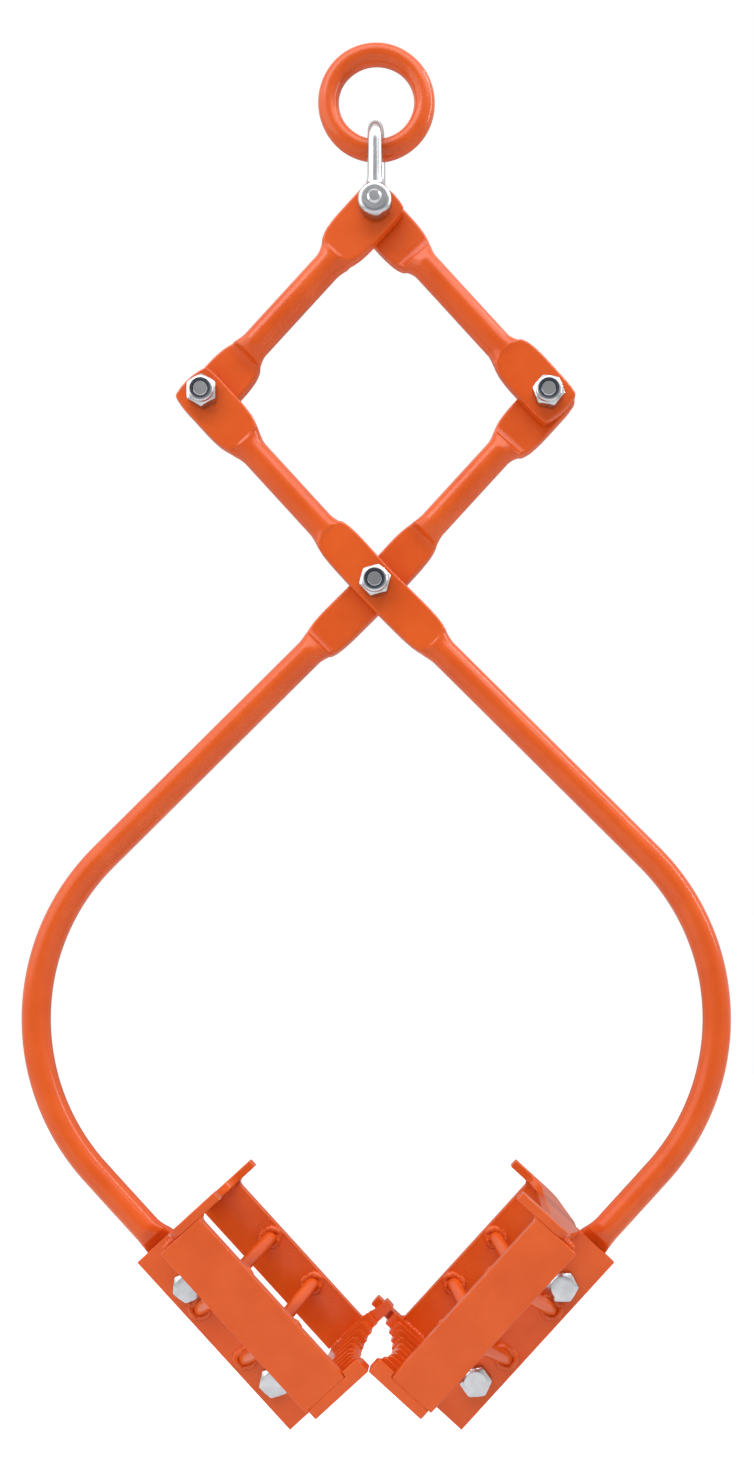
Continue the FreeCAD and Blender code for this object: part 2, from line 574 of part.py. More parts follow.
def main():
    make_ring()
    make_shackle()
    rear_back = f"-{FLAT_FACE}"
    make_link("left_link", "90 + link_angle", FLAT_BACK, rear_back)
    make_link("right_link", "90 - link_angle", rear_back, FLAT_BACK)
    make_arm("front_arm", "right", FLAT_BACK)
    make_arm("rear_arm", "left", rear_back)
    make_pivot("left_pivot", f"-{PIVOT_X}", PIVOT_Z, "pivot_side_gap", "0")
    make_pivot("right_pivot", PIVOT_X, PIVOT_Z, "0", "pivot_side_gap")
    make_pivot("centre_pivot", "0", CENTRE_Z, "0", "pivot_side_gap")
    make_jaws()
    document.recompute()
    for made in document.Objects:
        if "Invalid" in made.State or "Error" in made.State:
            raise RuntimeError(f"{made.Label} failed: {made.State}")
    for made in PIECES:
        if made.Shape.isNull() or not made.Shape.isValid() or not made.Shape.Solids:
            raise RuntimeError(f"{made.Label} has no valid solid")
    os.makedirs("parts", exist_ok=True)
    for made in PIECES:
        made.Shape.exportStep(f"parts/{made.Label}.step")


main()
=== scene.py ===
import json
import math

import bmesh
import bpy
import numpy as np
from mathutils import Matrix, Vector

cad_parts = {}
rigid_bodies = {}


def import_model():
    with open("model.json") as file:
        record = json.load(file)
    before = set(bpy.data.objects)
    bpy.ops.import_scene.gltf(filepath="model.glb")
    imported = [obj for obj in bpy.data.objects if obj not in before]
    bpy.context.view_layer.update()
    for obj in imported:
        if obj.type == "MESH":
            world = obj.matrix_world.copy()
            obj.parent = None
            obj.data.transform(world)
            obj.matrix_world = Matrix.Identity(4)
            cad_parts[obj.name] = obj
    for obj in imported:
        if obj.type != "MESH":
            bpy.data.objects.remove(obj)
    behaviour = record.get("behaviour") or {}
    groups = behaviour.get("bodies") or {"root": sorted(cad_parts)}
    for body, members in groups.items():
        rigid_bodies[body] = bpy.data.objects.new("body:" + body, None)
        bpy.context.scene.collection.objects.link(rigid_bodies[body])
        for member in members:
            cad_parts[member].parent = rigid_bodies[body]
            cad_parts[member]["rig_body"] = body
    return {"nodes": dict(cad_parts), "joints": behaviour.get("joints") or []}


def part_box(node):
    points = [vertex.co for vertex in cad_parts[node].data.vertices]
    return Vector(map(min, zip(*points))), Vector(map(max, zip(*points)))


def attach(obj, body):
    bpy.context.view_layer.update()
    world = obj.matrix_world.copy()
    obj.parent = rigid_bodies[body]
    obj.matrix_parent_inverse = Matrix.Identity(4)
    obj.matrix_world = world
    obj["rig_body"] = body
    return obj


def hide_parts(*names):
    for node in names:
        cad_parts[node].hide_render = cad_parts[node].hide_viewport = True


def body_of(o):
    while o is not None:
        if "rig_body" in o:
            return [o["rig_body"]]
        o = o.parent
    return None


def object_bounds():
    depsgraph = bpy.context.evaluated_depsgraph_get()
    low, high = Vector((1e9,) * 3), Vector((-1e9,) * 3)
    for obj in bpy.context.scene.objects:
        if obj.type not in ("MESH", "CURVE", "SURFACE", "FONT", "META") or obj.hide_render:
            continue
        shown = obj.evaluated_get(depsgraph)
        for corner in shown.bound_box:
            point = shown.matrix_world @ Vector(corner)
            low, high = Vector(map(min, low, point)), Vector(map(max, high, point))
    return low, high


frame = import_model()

bl_info = {
    "name": "Lifting tongs",
    "version": (1, 0, 0),
    "blender": (4, 5, 0),
    "location": "3D View > Sidebar > Tongs",
    "description": "Dresses the lifting tongs in paint, zinc and welds, and sets them in a plain studio",
    "category": "Object",
}

CAD_BOX = [list(corner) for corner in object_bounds()]
MM = 0.001
FRONT = np.array([0.0, -1.0, 0.0])
JOINTS = {joint["name"]: np.array(joint["pos_m"], float) for joint in frame["joints"]}
PIN = JOINTS["open"]
LEFT_PIVOT = JOINTS["left_pivot_turn"]
CENTRE = JOINTS["centre_pivot_turn"]
LINK_LENGTH = float(np.linalg.norm(LEFT_PIVOT - PIN))
LINK_ANGLE = math.atan2(LEFT_PIVOT[0] - PIN[0], PIN[2] - LEFT_PIVOT[2])
SIDES = {"left": -1.0, "right": 1.0}
JAW_BODY = {"left": "rear_arm", "right": "front_arm"}


def length(name, default, description):
    """Length property in metres, from a default in millimetres."""
    return bpy.props.FloatProperty(name=name, description=description, default=default * MM, min=0.0,
                                   subtype="DISTANCE", unit="LENGTH", precision=5)


def angle(name, default, description):
    """Angle property in radians, from a default in degrees."""
    return bpy.props.FloatProperty(name=name, description=description, default=math.radians(default),
                                   subtype="ANGLE", unit="ROTATION")


def share(name, default, description):
    """Share property, from 0 to 1."""
    return bpy.props.FloatProperty(name=name, description=description, default=default, min=0.0, max=1.0,
                                   subtype="FACTOR")


def colour(name, default, description):
    """Linear colour property."""
    return bpy.props.FloatVectorProperty(name=name, description=description, default=default, size=3,
                                         min=0.0, max=1.0, subtype="COLOR")


class TongsBarSizes(bpy.types.PropertyGroup):
    """Sizes of the ring, the links and the arms."""
    ring_bar: length("Ring bar", 12, "Thickness of the ring's round bar")
    ring_mean: length("Ring", 54.8, "Ring across, at the middle of its bar")
    rod: length("Round bar", 16, "Thickness of the links and arms where they are round")
    flat_thickness: length("Flat", 7, "Thickness of a forged flat")
    lap_gap: length("Lap gap", 0.3, "Gap between two flats on one pivot")
    flat_width: length("Flat width", 26.5, "Width of a forged flat at an end")
    flat_run: length("Flat run", 29, "From an end pivot to where its flat narrows")
    flat_overhang: length("Flat end", 12.5, "From an end pivot to the end of its flat")
    flat_end: length("Flat end rounding", 38, "Rounding of a flat's end, seen from the front")
    flat_corner: length("Flat edge", 1.4, "Rounding along a flat's edges")
    centre_width: length("Centre flat", 23, "Width of the flat at the centre pivot")
    centre_upper: length("Centre flat, up", 34.5, "From the centre pivot up to where its flat narrows")
    centre_lower: length("Centre flat, down", 41.5, "From the centre pivot down to where its flat narrows")
    neck: length("Neck", 13, "From a full flat to the full round bar")
    leaf: length("Leaf", 13, "Stretch of a flat over which its sides bow in towards a neck")
    shoulder: length("Shoulder", 1.9, "Steep part of a neck, along the bar")
    leg_angle: angle("Leg angle", 45.2, "Arms below the centre pivot, from the vertical")
    leg_run: length("Leg", 219.7, "From the centre pivot to the bend")
    bend: length("Bend", 130.2, "Radius of the large bend, at the middle of the bar")
    jaw_angle: angle("Jaw angle", 42.4, "Jaws from the vertical")
    tail_run: length("Tail bar", 56.4, "From the bend to the top of the jaw")
    tail_lead: length("Tail neck", 1, "From the top of the jaw up to where the tail's neck starts")
    tail_stepped: share("Tail step", 0.12, "Share of the tail's thickness that changes in its shoulder")
    stepped: share("Step", 0.45, "Share of a flat's thickness that changes in its shoulder")
    tail_width: length("Tail width", 20, "Flat tail that carries the jaw")
    tail_length: length("Tail", 114, "Flat tail below the top of the jaw")


class TongsLooks(bpy.types.PropertyGroup):
    """Colours of the finishes and the studio. The thin and the deep paint are blended in by cloudy noise all
    over, not placed by edges, ridges or corners.
    """
    paint: colour("Paint", (0.735, 0.098, 0.008), "Gloss orange enamel")
    paint_thin: colour("Thin paint", (0.82, 0.150, 0.03), "Enamel where it is thin, on edges and ridges")
    paint_deep: colour("Deep paint", (0.53, 0.052, 0.005), "Enamel where it has gathered, in corners")
    zinc: colour("Zinc", (0.57, 0.58, 0.60), "Bright zinc plate")
    zinc_dull: colour("Dull zinc", (0.38, 0.39, 0.42), "Zinc plate where it is dull")
    nylon: colour("Nylon", (0.012, 0.016, 0.03), "Locking ring of a nut")
    nylon_worn: colour("Worn nylon", (0.03, 0.04, 0.065), "Locking ring where it is rubbed")
    floor: colour("Floor", (0.88, 0.88, 0.88), "Plain pale floor")


def ease(along):
    """Smooth step from 0 to 1."""
    along = np.clip(along, 0.0, 1.0)
    return along * along * (3.0 - 2.0 * along)


def grid_faces(rows, columns, close_rows=False, first=0):
    """Quads between neighbouring rows and columns of a grid whose columns close on themselves."""
    index = first + np.arange(rows * columns).reshape(rows, columns)
    index = np.hstack([index, index[:, :1]])
    if close_rows:
        index = np.vstack([index, index[:1]])
    quads = np.stack([index[:-1, :-1], index[:-1, 1:], index[1:, 1:], index[1:, :-1]], -1)
    return quads.reshape(-1, 4)


def end_faces(ring):
    """Quads that close a ring of points, each between two points and the two across from them."""
    half = len(ring) // 2
    near, far = ring[:half], ring[half:][::-1]
    return np.stack([near[:-1], near[1:], far[1:], far[:-1]], -1)


def add_piece(name, points, faces, material, body, stands_for=(), sharp=None):
    """Closed mesh that rides on a body: doubles merged, normals outwards, smooth up to a sharp angle."""
    mesh = bpy.data.meshes.new(name)
    mesh.from_pydata(np.asarray(points).reshape(-1, 3), [], [list(face) for face in faces])
    finish_mesh(mesh, sharp)
    place_piece(name, mesh, material, body, stands_for)


def finish_mesh(mesh, sharp=None):
    """Merge doubles, turn the faces outwards and shade them smooth up to a sharp angle."""
    edit = bmesh.new()
    edit.from_mesh(mesh)
    bmesh.ops.remove_doubles(edit, verts=edit.verts, dist=MM / 1000)
    bmesh.ops.dissolve_degenerate(edit, edges=edit.edges, dist=MM / 1000)
    bmesh.ops.recalc_face_normals(edit, faces=edit.faces)
    edit.to_mesh(mesh)
    edit.free()
    mesh.shade_smooth()
    if sharp is not None:
        mesh.set_sharp_from_angle(angle=sharp)


def place_piece(name, mesh, material, body, stands_for=()):
    """Object for a mesh that rides on a body, in place of the nodes it stands for."""
    made = bpy.data.objects.new(name, mesh)
    bpy.context.scene.collection.objects.link(made)
    mesh.materials.clear()
    mesh.materials.append(material)
    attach(made, body)
    if stands_for:
        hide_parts(*stands_for)
    return made


def new_group(name, inputs, outputs):
    """Way to add nodes to a new shader node group with named sockets, each (name, socket type, default)."""
    group = bpy.data.node_groups.new(name, "ShaderNodeTree")
    for in_out, sockets in (("INPUT", inputs), ("OUTPUT", outputs)):
        for socket_name, kind, default in sockets:
            socket = group.interface.new_socket(name=socket_name, in_out=in_out, socket_type=kind)
            if default is not None:
                socket.default_value = default
    return Nodes(group)


class Nodes:
    """Short way to add nodes to a tree and join them."""

    def __init__(self, tree):
        self.tree = tree

    def add(self, kind, links=None, **settings):
        """Node of a kind; links gives each input a value or another node's output."""
        node = self.tree.nodes.new("ShaderNode" + kind)
        for setting, value in settings.items():
            setattr(node, setting, value)
        for socket, source in (links or {}).items():
            if isinstance(source, bpy.types.NodeSocket):
                self.tree.links.new(source, node.inputs[socket])
            else:
                node.inputs[socket].default_value = source
        return node

    def ends(self):
        """Group's own input and output nodes."""
        return self.tree.nodes.new("NodeGroupInput"), self.tree.nodes.new("NodeGroupOutput")

    def math(self, operation, first, second=0.0):
        """Result of one sum on two values."""
        return self.add("Math", {0: first, 1: second}, operation=operation).outputs[0]

    def scaled(self, value, scale, start):
        """Value times a scale, counted from a start."""
        return self.math("ADD", self.math("MULTIPLY", value, scale), start)

    def mix(self, factor, first, second):
        """Blend of two colours."""
        node = self.add("Mix", data_type="RGBA")
        for socket, source in (("Factor_Float", factor), ("A_Color", first), ("B_Color", second)):
            target = next(found for found in node.inputs if found.identifier == socket)
            if isinstance(source, bpy.types.NodeSocket):
                self.tree.links.new(source, target)
            else:
                target.default_value = source
        return next(found for found in node.outputs if found.identifier == "Result_Color")

    def ramp(self, factor, low, high):
        """Factor spread from 0 at low to 1 at high."""
        return self.add("MapRange", {"Value": factor, "From Min": low, "From Max": high}).outputs["Result"]

    def join(self, source, node, socket):
        """Link from an output to a named input."""
        self.tree.links.new(source, node.inputs[socket])


def noise_group():
    """Noise on Object coordinates at one scale: a smooth value about 0.5 all over a piece."""
    nodes = new_group("Surface noise",
                      [("Scale", "NodeSocketFloat", 50.0), ("Detail", "NodeSocketFloat", 2.0),
                       ("Roughness", "NodeSocketFloat", 0.5)],
                      [("Value", "NodeSocketFloat", None)])
    source, sink = nodes.ends()
    where = nodes.add("TexCoord")
    waves = nodes.add("TexNoise", {"Vector": where.outputs["Object"], "Scale": source.outputs["Scale"],
                                   "Detail": source.outputs["Detail"],
                                   "Roughness": source.outputs["Roughness"]})
    nodes.join(waves.outputs["Fac"], sink, "Value")


def new_material(name):
    """Way to add nodes to a new material, and its Principled shader."""
    material = bpy.data.materials.new(name)
    material.use_nodes = True
    material.node_tree.nodes.clear()
    nodes = Nodes(material.node_tree)
    shader = nodes.add("BsdfPrincipled")
    nodes.add("OutputMaterial", {"Surface": shader.outputs["BSDF"]})
    return nodes, shader


def rgba(value):
    """Colour with full opacity."""
    return (*value, 1.0)


def noise(nodes, scale, detail=2.0, roughness=0.5):
    """Value of the shared noise at a scale, in waves to the metre."""
    node = nodes.add("Group", node_tree=bpy.data.node_groups["Surface noise"])
    for socket, value in (("Scale", scale), ("Detail", detail), ("Roughness", roughness)):
        node.inputs[socket].default_value = value
    return node.outputs["Value"]


def paint_material(looks, name="Orange enamel", spatter=0.0):
    """Gloss enamel on steel: cloudy thickness, orange peel, the bar's faint mill waves and, on welded pieces,
    spatter under the paint."""
    nodes, shader = new_material(name)
    cloud = nodes.ramp(noise(nodes, 38.0, 3.0), 0.3, 0.7)
    tone = nodes.mix(cloud, rgba(looks.paint_deep), rgba(looks.paint_thin))
    tone = nodes.mix(0.75, tone, rgba(looks.paint))
    nodes.join(tone, shader, "Base Color")
    peel = noise(nodes, 330.0, 0.0)
    wave = noise(nodes, 75.0, 2.0)
    height = nodes.math("ADD", nodes.math("MULTIPLY", peel, 0.006), nodes.math("MULTIPLY", wave, 0.2))
    if spatter:
        grains = nodes.add("TexVoronoi", {"Vector": nodes.add("TexCoord").outputs["Object"], "Scale": 330.0})
        dots = nodes.ramp(grains.outputs["Distance"], 0.22, 0.05)
        patch = nodes.ramp(noise(nodes, 60.0, 1.0), 0.52, 0.66)
        dots = nodes.math("MULTIPLY", dots, patch)
        height = nodes.math("ADD", height, nodes.math("MULTIPLY", dots, spatter))
    bump = nodes.add("Bump", {"Height": height, "Strength": 0.5, "Distance": 0.0004})
    nodes.join(bump.outputs["Normal"], shader, "Normal")
    nodes.join(nodes.scaled(noise(nodes, 120.0, 2.0), 0.1, 0.17), shader, "Roughness")
    shader.inputs["IOR"].default_value = 1.40


def zinc_material(looks):
    """Bright zinc plate: cloudy and slightly crystalline, rougher where it is dull."""
    nodes, shader = new_material("Zinc plate")
    cloud = nodes.ramp(noise(nodes, 160.0), 0.3, 0.7)
    tone = nodes.mix(nodes.math("MULTIPLY", cloud, 0.5), rgba(looks.zinc), rgba(looks.zinc_dull))
    nodes.join(tone, shader, "Base Color")
    shader.inputs["Metallic"].default_value = 1.0
    nodes.join(nodes.scaled(cloud, 0.11, 0.155), shader, "Roughness")
    bump = nodes.add("Bump", {"Height": noise(nodes, 300.0, 1.0), "Strength": 0.12, "Distance": 0.0003})
    nodes.join(bump.outputs["Normal"], shader, "Normal")


def nylon_material(looks):
    """Dark nylon: fine mottling under a soft sheen."""
    nodes, shader = new_material("Dark nylon")
    cloud = noise(nodes, 600.0, 3.0)
    nodes.join(nodes.mix(cloud, rgba(looks.nylon), rgba(looks.nylon_worn)), shader, "Base Color")
    nodes.join(nodes.scaled(cloud, 0.2, 0.35), shader, "Roughness")
    bump = nodes.add("Bump", {"Height": noise(nodes, 1500.0, 2.0), "Strength": 0.2, "Distance": 0.0002})
    nodes.join(bump.outputs["Normal"], shader, "Normal")


def finish(name):
    """Finish by its name, made once."""
    return bpy.data.materials[name]


# A quarter of a bar's section, from the middle of its edge to the middle of its face, as shares.
EDGE_SHARES = np.array([0.4, 0.9])
CORNER_TURNS = np.linspace(0.0, math.pi / 2, 7)
FACE_SHARES = np.array([0.97, 0.66, 0.25])


def section_loop():
    """Loop of samples round a bar: for each, how far it lies along the straight edge and face, and the turn
    of its rounded corner, with the plain angle that it takes on a round bar."""
    edge, face = np.ones(len(EDGE_SHARES)), np.ones(len(FACE_SHARES))
    corner = np.ones(len(CORNER_TURNS))
    quarter = np.stack([np.concatenate([edge, corner, FACE_SHARES]),
                        np.concatenate([EDGE_SHARES, corner, face]),
                        np.concatenate([edge, np.cos(CORNER_TURNS), 0 * face]),
                        np.concatenate([0 * edge, np.sin(CORNER_TURNS), face])])
    across, front = np.array([-1, 1, -1, 1])[:, None], np.array([1, -1, 1, -1])[:, None]
    loop = np.hstack([quarter, across * quarter[:, ::-1], across * front * quarter, front * quarter[:, ::-1]])
    steps = loop.shape[1]
    turn = (np.arange(steps) + 0.5) * 2 * math.pi / steps
    return loop, np.cos(turn), np.sin(turn)


SECTION, ROUND_ACROSS, ROUND_FRONT = section_loop()


def bar_rows(width, thickness, corner, round_share, offset):
    """Sections of a bar, one to each row: a rounded oblong blended into an ellipse by the round share, with
    its middle offset to the front."""
    width, thickness, corner = width[:, None] / 2, thickness[:, None] / 2, corner[:, None]
    blend = round_share[:, None]
    across = SECTION[0] * (width - corner) + SECTION[2] * corner
    front = SECTION[1] * (thickness - corner) + SECTION[3] * corner
    across = (1 - blend) * across + blend * width * ROUND_ACROSS
    front = (1 - blend) * front + blend * thickness * ROUND_FRONT
    return across, front + offset[:, None]


# How much of its width a flat loses in its leaf, how many necks long a narrowing is, the ridge on a shoulder,
# the corner of a round bar as a share, and how far from an end its rounding and its extra rows reach.
LEAF_BOW = 0.2
NECK_REACH = 1.2
RIDGE = 0.3 * MM
ROUND_CORNER = 0.42
CROWN_RUN = 14 * MM
END_RUN = 12 * MM


def neck_shares(past, sizes, stepped):
    """Width and thickness shares of a flat at a distance past its run. The width bows in like a leaf, by a
    square, from well before the run's end and eases into the round bar. The stepped share of the thickness
    changes over a short shoulder, which ends in a low bell-shaped ridge, and the rest over the whole neck."""
    bow = LEAF_BOW * np.clip(past / sizes.leaf + 1, 0.0, 1.0) ** 2
    width = (1 - bow) * (1 - ease((past + 0.15 * sizes.neck) / (NECK_REACH * sizes.neck)))
    middle = 0.42 * sizes.neck
    steep = ease((past - middle + sizes.shoulder / 2) / sizes.shoulder)
    thickness = 1 - stepped * steep - (1 - stepped) * ease(past / sizes.neck)
    ridge = np.exp(-((past - middle - sizes.shoulder * 0.6) / (sizes.shoulder * 0.45)) ** 2)
    return width, thickness, ridge


def forged_bar(name, sizes, marks, heading, anchor, zones, ends, body):
    """Forged bar: a section carried along a path whose heading, from straight down towards +X, is a function
    of the distance. Zones are flats (start, end, width, offset to the front, stepped share of their necks);
    ends give each end's rounding."""
    first, last = marks[0], marks[-1]
    tip = sizes.flat_corner
    turns = np.linspace(0.0, math.pi / 2, 7)
    rows = [np.linspace(first + tip, last - tip, 40), first + tip * (1 - np.cos(turns)),
            last - tip * (1 - np.cos(turns))]
    rows += [np.linspace(first + tip, first + END_RUN, 10), np.linspace(last - END_RUN, last - tip, 10)]
    reach = NECK_REACH * sizes.neck
    for start, end, *_ in zones:
        rows += [np.linspace(start - reach, start + sizes.leaf, 60),
                 np.linspace(end - sizes.leaf, end + reach, 60)]
    rows += [np.arange(low, high, 2.0 * MM) for low, high in marks[1:-1]]
    along = np.unique(np.round(np.concatenate(rows), 6))
    along = along[(along >= first) & (along <= last)]
    turn = heading(along)
    way = np.stack([np.sin(turn), 0 * turn, -np.cos(turn)], -1)
    steps = np.diff(along)[:, None] * (way[1:] + way[:-1]) / 2
    middle = np.vstack([np.zeros((1, 3)), np.cumsum(steps, 0)])
    fixed = np.array([np.interp(anchor[0], along, middle[:, axis]) for axis in range(3)])
    middle += np.asarray(anchor[1]) - fixed
    width, thickness = np.full_like(along, sizes.rod), np.full_like(along, sizes.rod)
    offset, flat, wide = np.zeros_like(along), np.zeros_like(along), np.zeros_like(along)
    for start, end, zone_width, zone_offset, stepped in zones:
        past = np.maximum(start - along, along - end)
        width_share, thick_share, ridge = neck_shares(past, sizes, stepped)
        width += (zone_width - sizes.rod) * width_share
        thickness += (sizes.flat_thickness - sizes.rod) * thick_share + RIDGE * ridge
        offset += zone_offset * thick_share
        flat += thick_share
        wide += width_share
    corner = sizes.flat_corner + (ROUND_CORNER * sizes.rod - sizes.flat_corner) * (1 - flat)
    round_share = (1 - wide) ** 0.8 * (1 - flat)
    near = np.minimum(along - first, last - along)
    inset = tip - np.sqrt(np.maximum(tip ** 2 - np.maximum(tip - near, 0.0) ** 2, 0.0))
    across, front = bar_rows(width - 2 * inset, thickness - 2 * inset, np.maximum(corner - inset, 0.3 * MM),
                             round_share, offset)
    shift = np.zeros_like(across)
    for rounding, distance, sign in ((ends[0], along - first, 1.0), (ends[1], last - along, -1.0)):
        if rounding:
            crown = rounding - np.sqrt(rounding ** 2 - across ** 2)
            shift += sign * crown * (1 - ease(distance / CROWN_RUN))[:, None]
    side = np.stack([np.cos(turn), 0 * turn, np.sin(turn)], -1)
    points = (middle[:, None] + across[..., None] * side[:, None] + front[..., None] * FRONT
              + shift[..., None] * way[:, None])
    count, columns = across.shape
    faces = np.vstack([grid_faces(count, columns), end_faces(np.arange(columns)),
                       end_faces((count - 1) * columns + np.arange(columns))])
    add_piece(name, points, faces, finish("Orange enamel"), body, [body])


class TONGS_OT_links(bpy.types.Operator):
    """Make the two upper links: round bars whose ends are forged flat on opposite halves"""
    bl_idname = "tongs.links"
    bl_label = "Links"

    def execute(self, context):
        sizes = context.scene.tongs_bars
        lap = (sizes.lap_gap + sizes.flat_thickness) / 2
        first, last = -sizes.flat_overhang, LINK_LENGTH + sizes.flat_overhang
        for side, sign in SIDES.items():
            front = lap if side == "left" else -lap
            zones = [(first, sizes.flat_run, sizes.flat_width, front, sizes.stepped),
                     (LINK_LENGTH - sizes.flat_run, last, sizes.flat_width, -front, sizes.stepped)]
            turn = sign * abs(LINK_ANGLE)
            forged_bar(side + "_forged_link", sizes, [first, last], lambda along: np.full_like(along, turn),
                       (0.0, PIN), zones, (sizes.flat_end, sizes.flat_end), side + "_link")
        return {"FINISHED"}


class TONGS_OT_arms(bpy.types.Operator):
    """Make the two crossed arms: flats at the outer pivot, the centre and the jaw, and one large bend"""
    bl_idname = "tongs.arms"
    bl_label = "Arms"

    def execute(self, context):
        sizes = context.scene.tongs_bars
        lap = (sizes.lap_gap + sizes.flat_thickness) / 2
        bend_start = LINK_LENGTH + sizes.leg_run
        bend_end = bend_start + sizes.bend * (sizes.leg_angle + sizes.jaw_angle)
        jaw_top = bend_end + sizes.tail_run
        first, last = -sizes.flat_overhang, jaw_top + sizes.tail_length
        for body, sign, front in (("front_arm", 1.0, lap), ("rear_arm", -1.0, -lap)):
            def heading(along, sign=sign):
                """Heading at a distance along the arm: a small turn at the centre, then the bend."""
                straight = abs(LINK_ANGLE) + (sizes.leg_angle - abs(LINK_ANGLE)) * ease(
                    (along - LINK_LENGTH) / sizes.centre_width + 0.5)
                return sign * (straight - np.clip((along - bend_start) / sizes.bend, 0.0,
                                                  sizes.leg_angle + sizes.jaw_angle))
            zones = [(first, sizes.flat_run, sizes.flat_width, front, sizes.stepped),
                     (LINK_LENGTH - sizes.centre_upper, LINK_LENGTH + sizes.centre_lower,
                      sizes.centre_width, front, sizes.stepped),
                     (jaw_top - sizes.tail_lead, last,
                      sizes.tail_width, -sizes.flat_thickness / 2, sizes.tail_stepped)]
            curved = [(LINK_LENGTH - sizes.centre_width, LINK_LENGTH + sizes.centre_width),
                      (bend_start, bend_end)]
            forged_bar(body.replace("arm", "forged_arm"), sizes, [first, *curved, last], heading,
                       (LINK_LENGTH, CENTRE), zones, (sizes.flat_end, None), body)
        return {"FINISHED"}


class TONGS_OT_ring(bpy.types.Operator):
    """Make the lifting ring: a round bar closed on itself, slightly uneven in slow waves"""
    bl_idname = "tongs.ring"
    bl_label = "Ring"

    def execute(self, context):
        sizes = context.scene.tongs_bars
        turn = np.linspace(0, 2 * math.pi, 180, endpoint=False)[:, None]
        around = np.linspace(0, 2 * math.pi, 48, endpoint=False)[None, :]
        thick = sizes.ring_bar / 2 * (0.989 + 0.006 * np.cos(3 * turn + 0.7) + 0.004 * np.sin(7 * turn))
        reach = sizes.ring_mean / 2 + thick * np.cos(around)
        points = np.stack([reach * np.sin(turn), thick * np.sin(around) + 0 * turn, reach * np.cos(turn)], -1)
        add_piece("lifting_ring", points, grid_faces(*points.shape[:2], close_rows=True),
                  finish("Orange enamel"), "ring", ["ring"])
        return {"FINISHED"}


class TongsFastenerSizes(bpy.types.PropertyGroup):
    """Sizes of the bolts, the nuts and the shackle."""
    across: length("Across flats", 16, "Bolt heads and nuts, across the flats")
    thread: length("Thread", 10, "Thickness of a bolt")
    head: length("Bolt head", 6.4, "Height of a bolt's head")
    pitch: length("Pitch", 1.5, "From one thread to the next")
    insert: length("Locking ring", 13, "Outside of a lock nut's nylon ring")
    insert_shown: length("Locking ring, shown", 11.3, "Nylon ring inside the nut's rolled rim")
    bolt_end: length("Bolt end", 8.7, "Thickness of a bolt's turned end")
    insert_depth: length("Locking ring depth", 2.6, "Height of a lock nut's nylon ring")
    bow_wire: length("Bow", 8.5, "Thickness of the shackle's bow")
    eye: length("Eye", 19, "Outside of a shackle eye")
    eye_depth: length("Eye depth", 9.4, "Shackle eye, along the pin")
    pin: length("Shackle pin", 8, "Thickness of the shackle pin")


HEX_STEPS = 72
METAL_SHARP = math.radians(28)
BEVEL_SLOPE = math.tan(math.radians(30))
BORE_ROOM = 0.05 * MM
# How much wider the bow's wire is at an eye, the rounding of an eye and the grain at which they are fused.
BOW_SWELL = 0.30
EYE_EDGE = 2.6 * MM
FUSE_GRAIN = 0.42 * MM


def hexagon_radius(across, corner):
    """Distance from the axis to a hexagon at each step round it, with one corner at the angle given."""
    turn = np.linspace(0, 2 * math.pi, HEX_STEPS, endpoint=False)
    within = np.mod(turn - corner, math.pi / 3) - math.pi / 6
    return turn, across / 2 / np.cos(within)


def turned(profile, across, corner, centre, way):
    """Grid about an axis along Y: each row of the profile is (distance along the way, radius), and the
    radius is cut down to a hexagon where it would pass it."""
    profile = np.asarray(profile)
    turn, limit = hexagon_radius(across, corner)
    radius = np.minimum(profile[:, 1:], limit)
    points = np.stack([radius * np.cos(turn), way * profile[:, :1] + 0 * radius, radius * np.sin(turn)], -1)
    return points + centre


def past_corner(half):
    """Radius just past a hexagon's corners, from half the size across its flats."""
    return half / math.cos(math.pi / 6) * 1.02


def chamfer(start, end, low, high, steps=7):
    """Profile rows of a straight slope."""
    return list(zip(np.linspace(start, end, steps), np.linspace(low, high, steps)))


def add_turned(name, profile, closed, corner, centre, way, material, node):
    """Piece turned from a profile in place of a node, on that node's body."""
    sizes = bpy.context.scene.tongs_fasteners
    points = turned(profile, sizes.across, corner, centre, way)
    faces = grid_faces(len(profile), HEX_STEPS, close_rows=closed)
    body = body_of(frame["nodes"][node])[0]
    add_piece(name, points, faces, finish(material), body, [node], sharp=METAL_SHARP)


def bolt_profile(sizes, head, reach):
    """Bolt from the middle of its head, over a bevelled hexagon, a bearing face and a thread to its plain
    turned end."""
    half, shank = sizes.across / 2, sizes.thread / 2
    corner = past_corner(half)
    bevel = (corner - 0.82 * half) * BEVEL_SLOPE
    rows = [(head, 0.0), (head, 0.5 * half), (head, 0.78 * half), (head - 0.05 * MM, 0.82 * half)]
    rows += chamfer(head - 0.1 * MM, head - bevel, 0.83 * half, corner)
    rows += [(0.5 * MM, corner), (0.32 * MM, 0.98 * half), (0.0, 0.94 * half), (0.0, shank + 0.4 * MM)]
    rows += [(-0.4 * MM, shank), (-reach + 5 * sizes.pitch, shank)]
    turns = np.arange(-reach + 5 * sizes.pitch, -reach + 2.3 * MM, -sizes.pitch / 4)
    crest = np.array([1.0, 0.94, 0.89, 0.94])
    rows += list(zip(turns, shank * crest[np.arange(len(turns)) % 4]))
    end = sizes.bolt_end / 2
    rows += [(-reach + 2.2 * MM, end), (-reach + 0.5 * MM, end), (-reach, end - 0.5 * MM),
             (-reach, 0.4 * end), (-reach, 0.0)]
    return rows


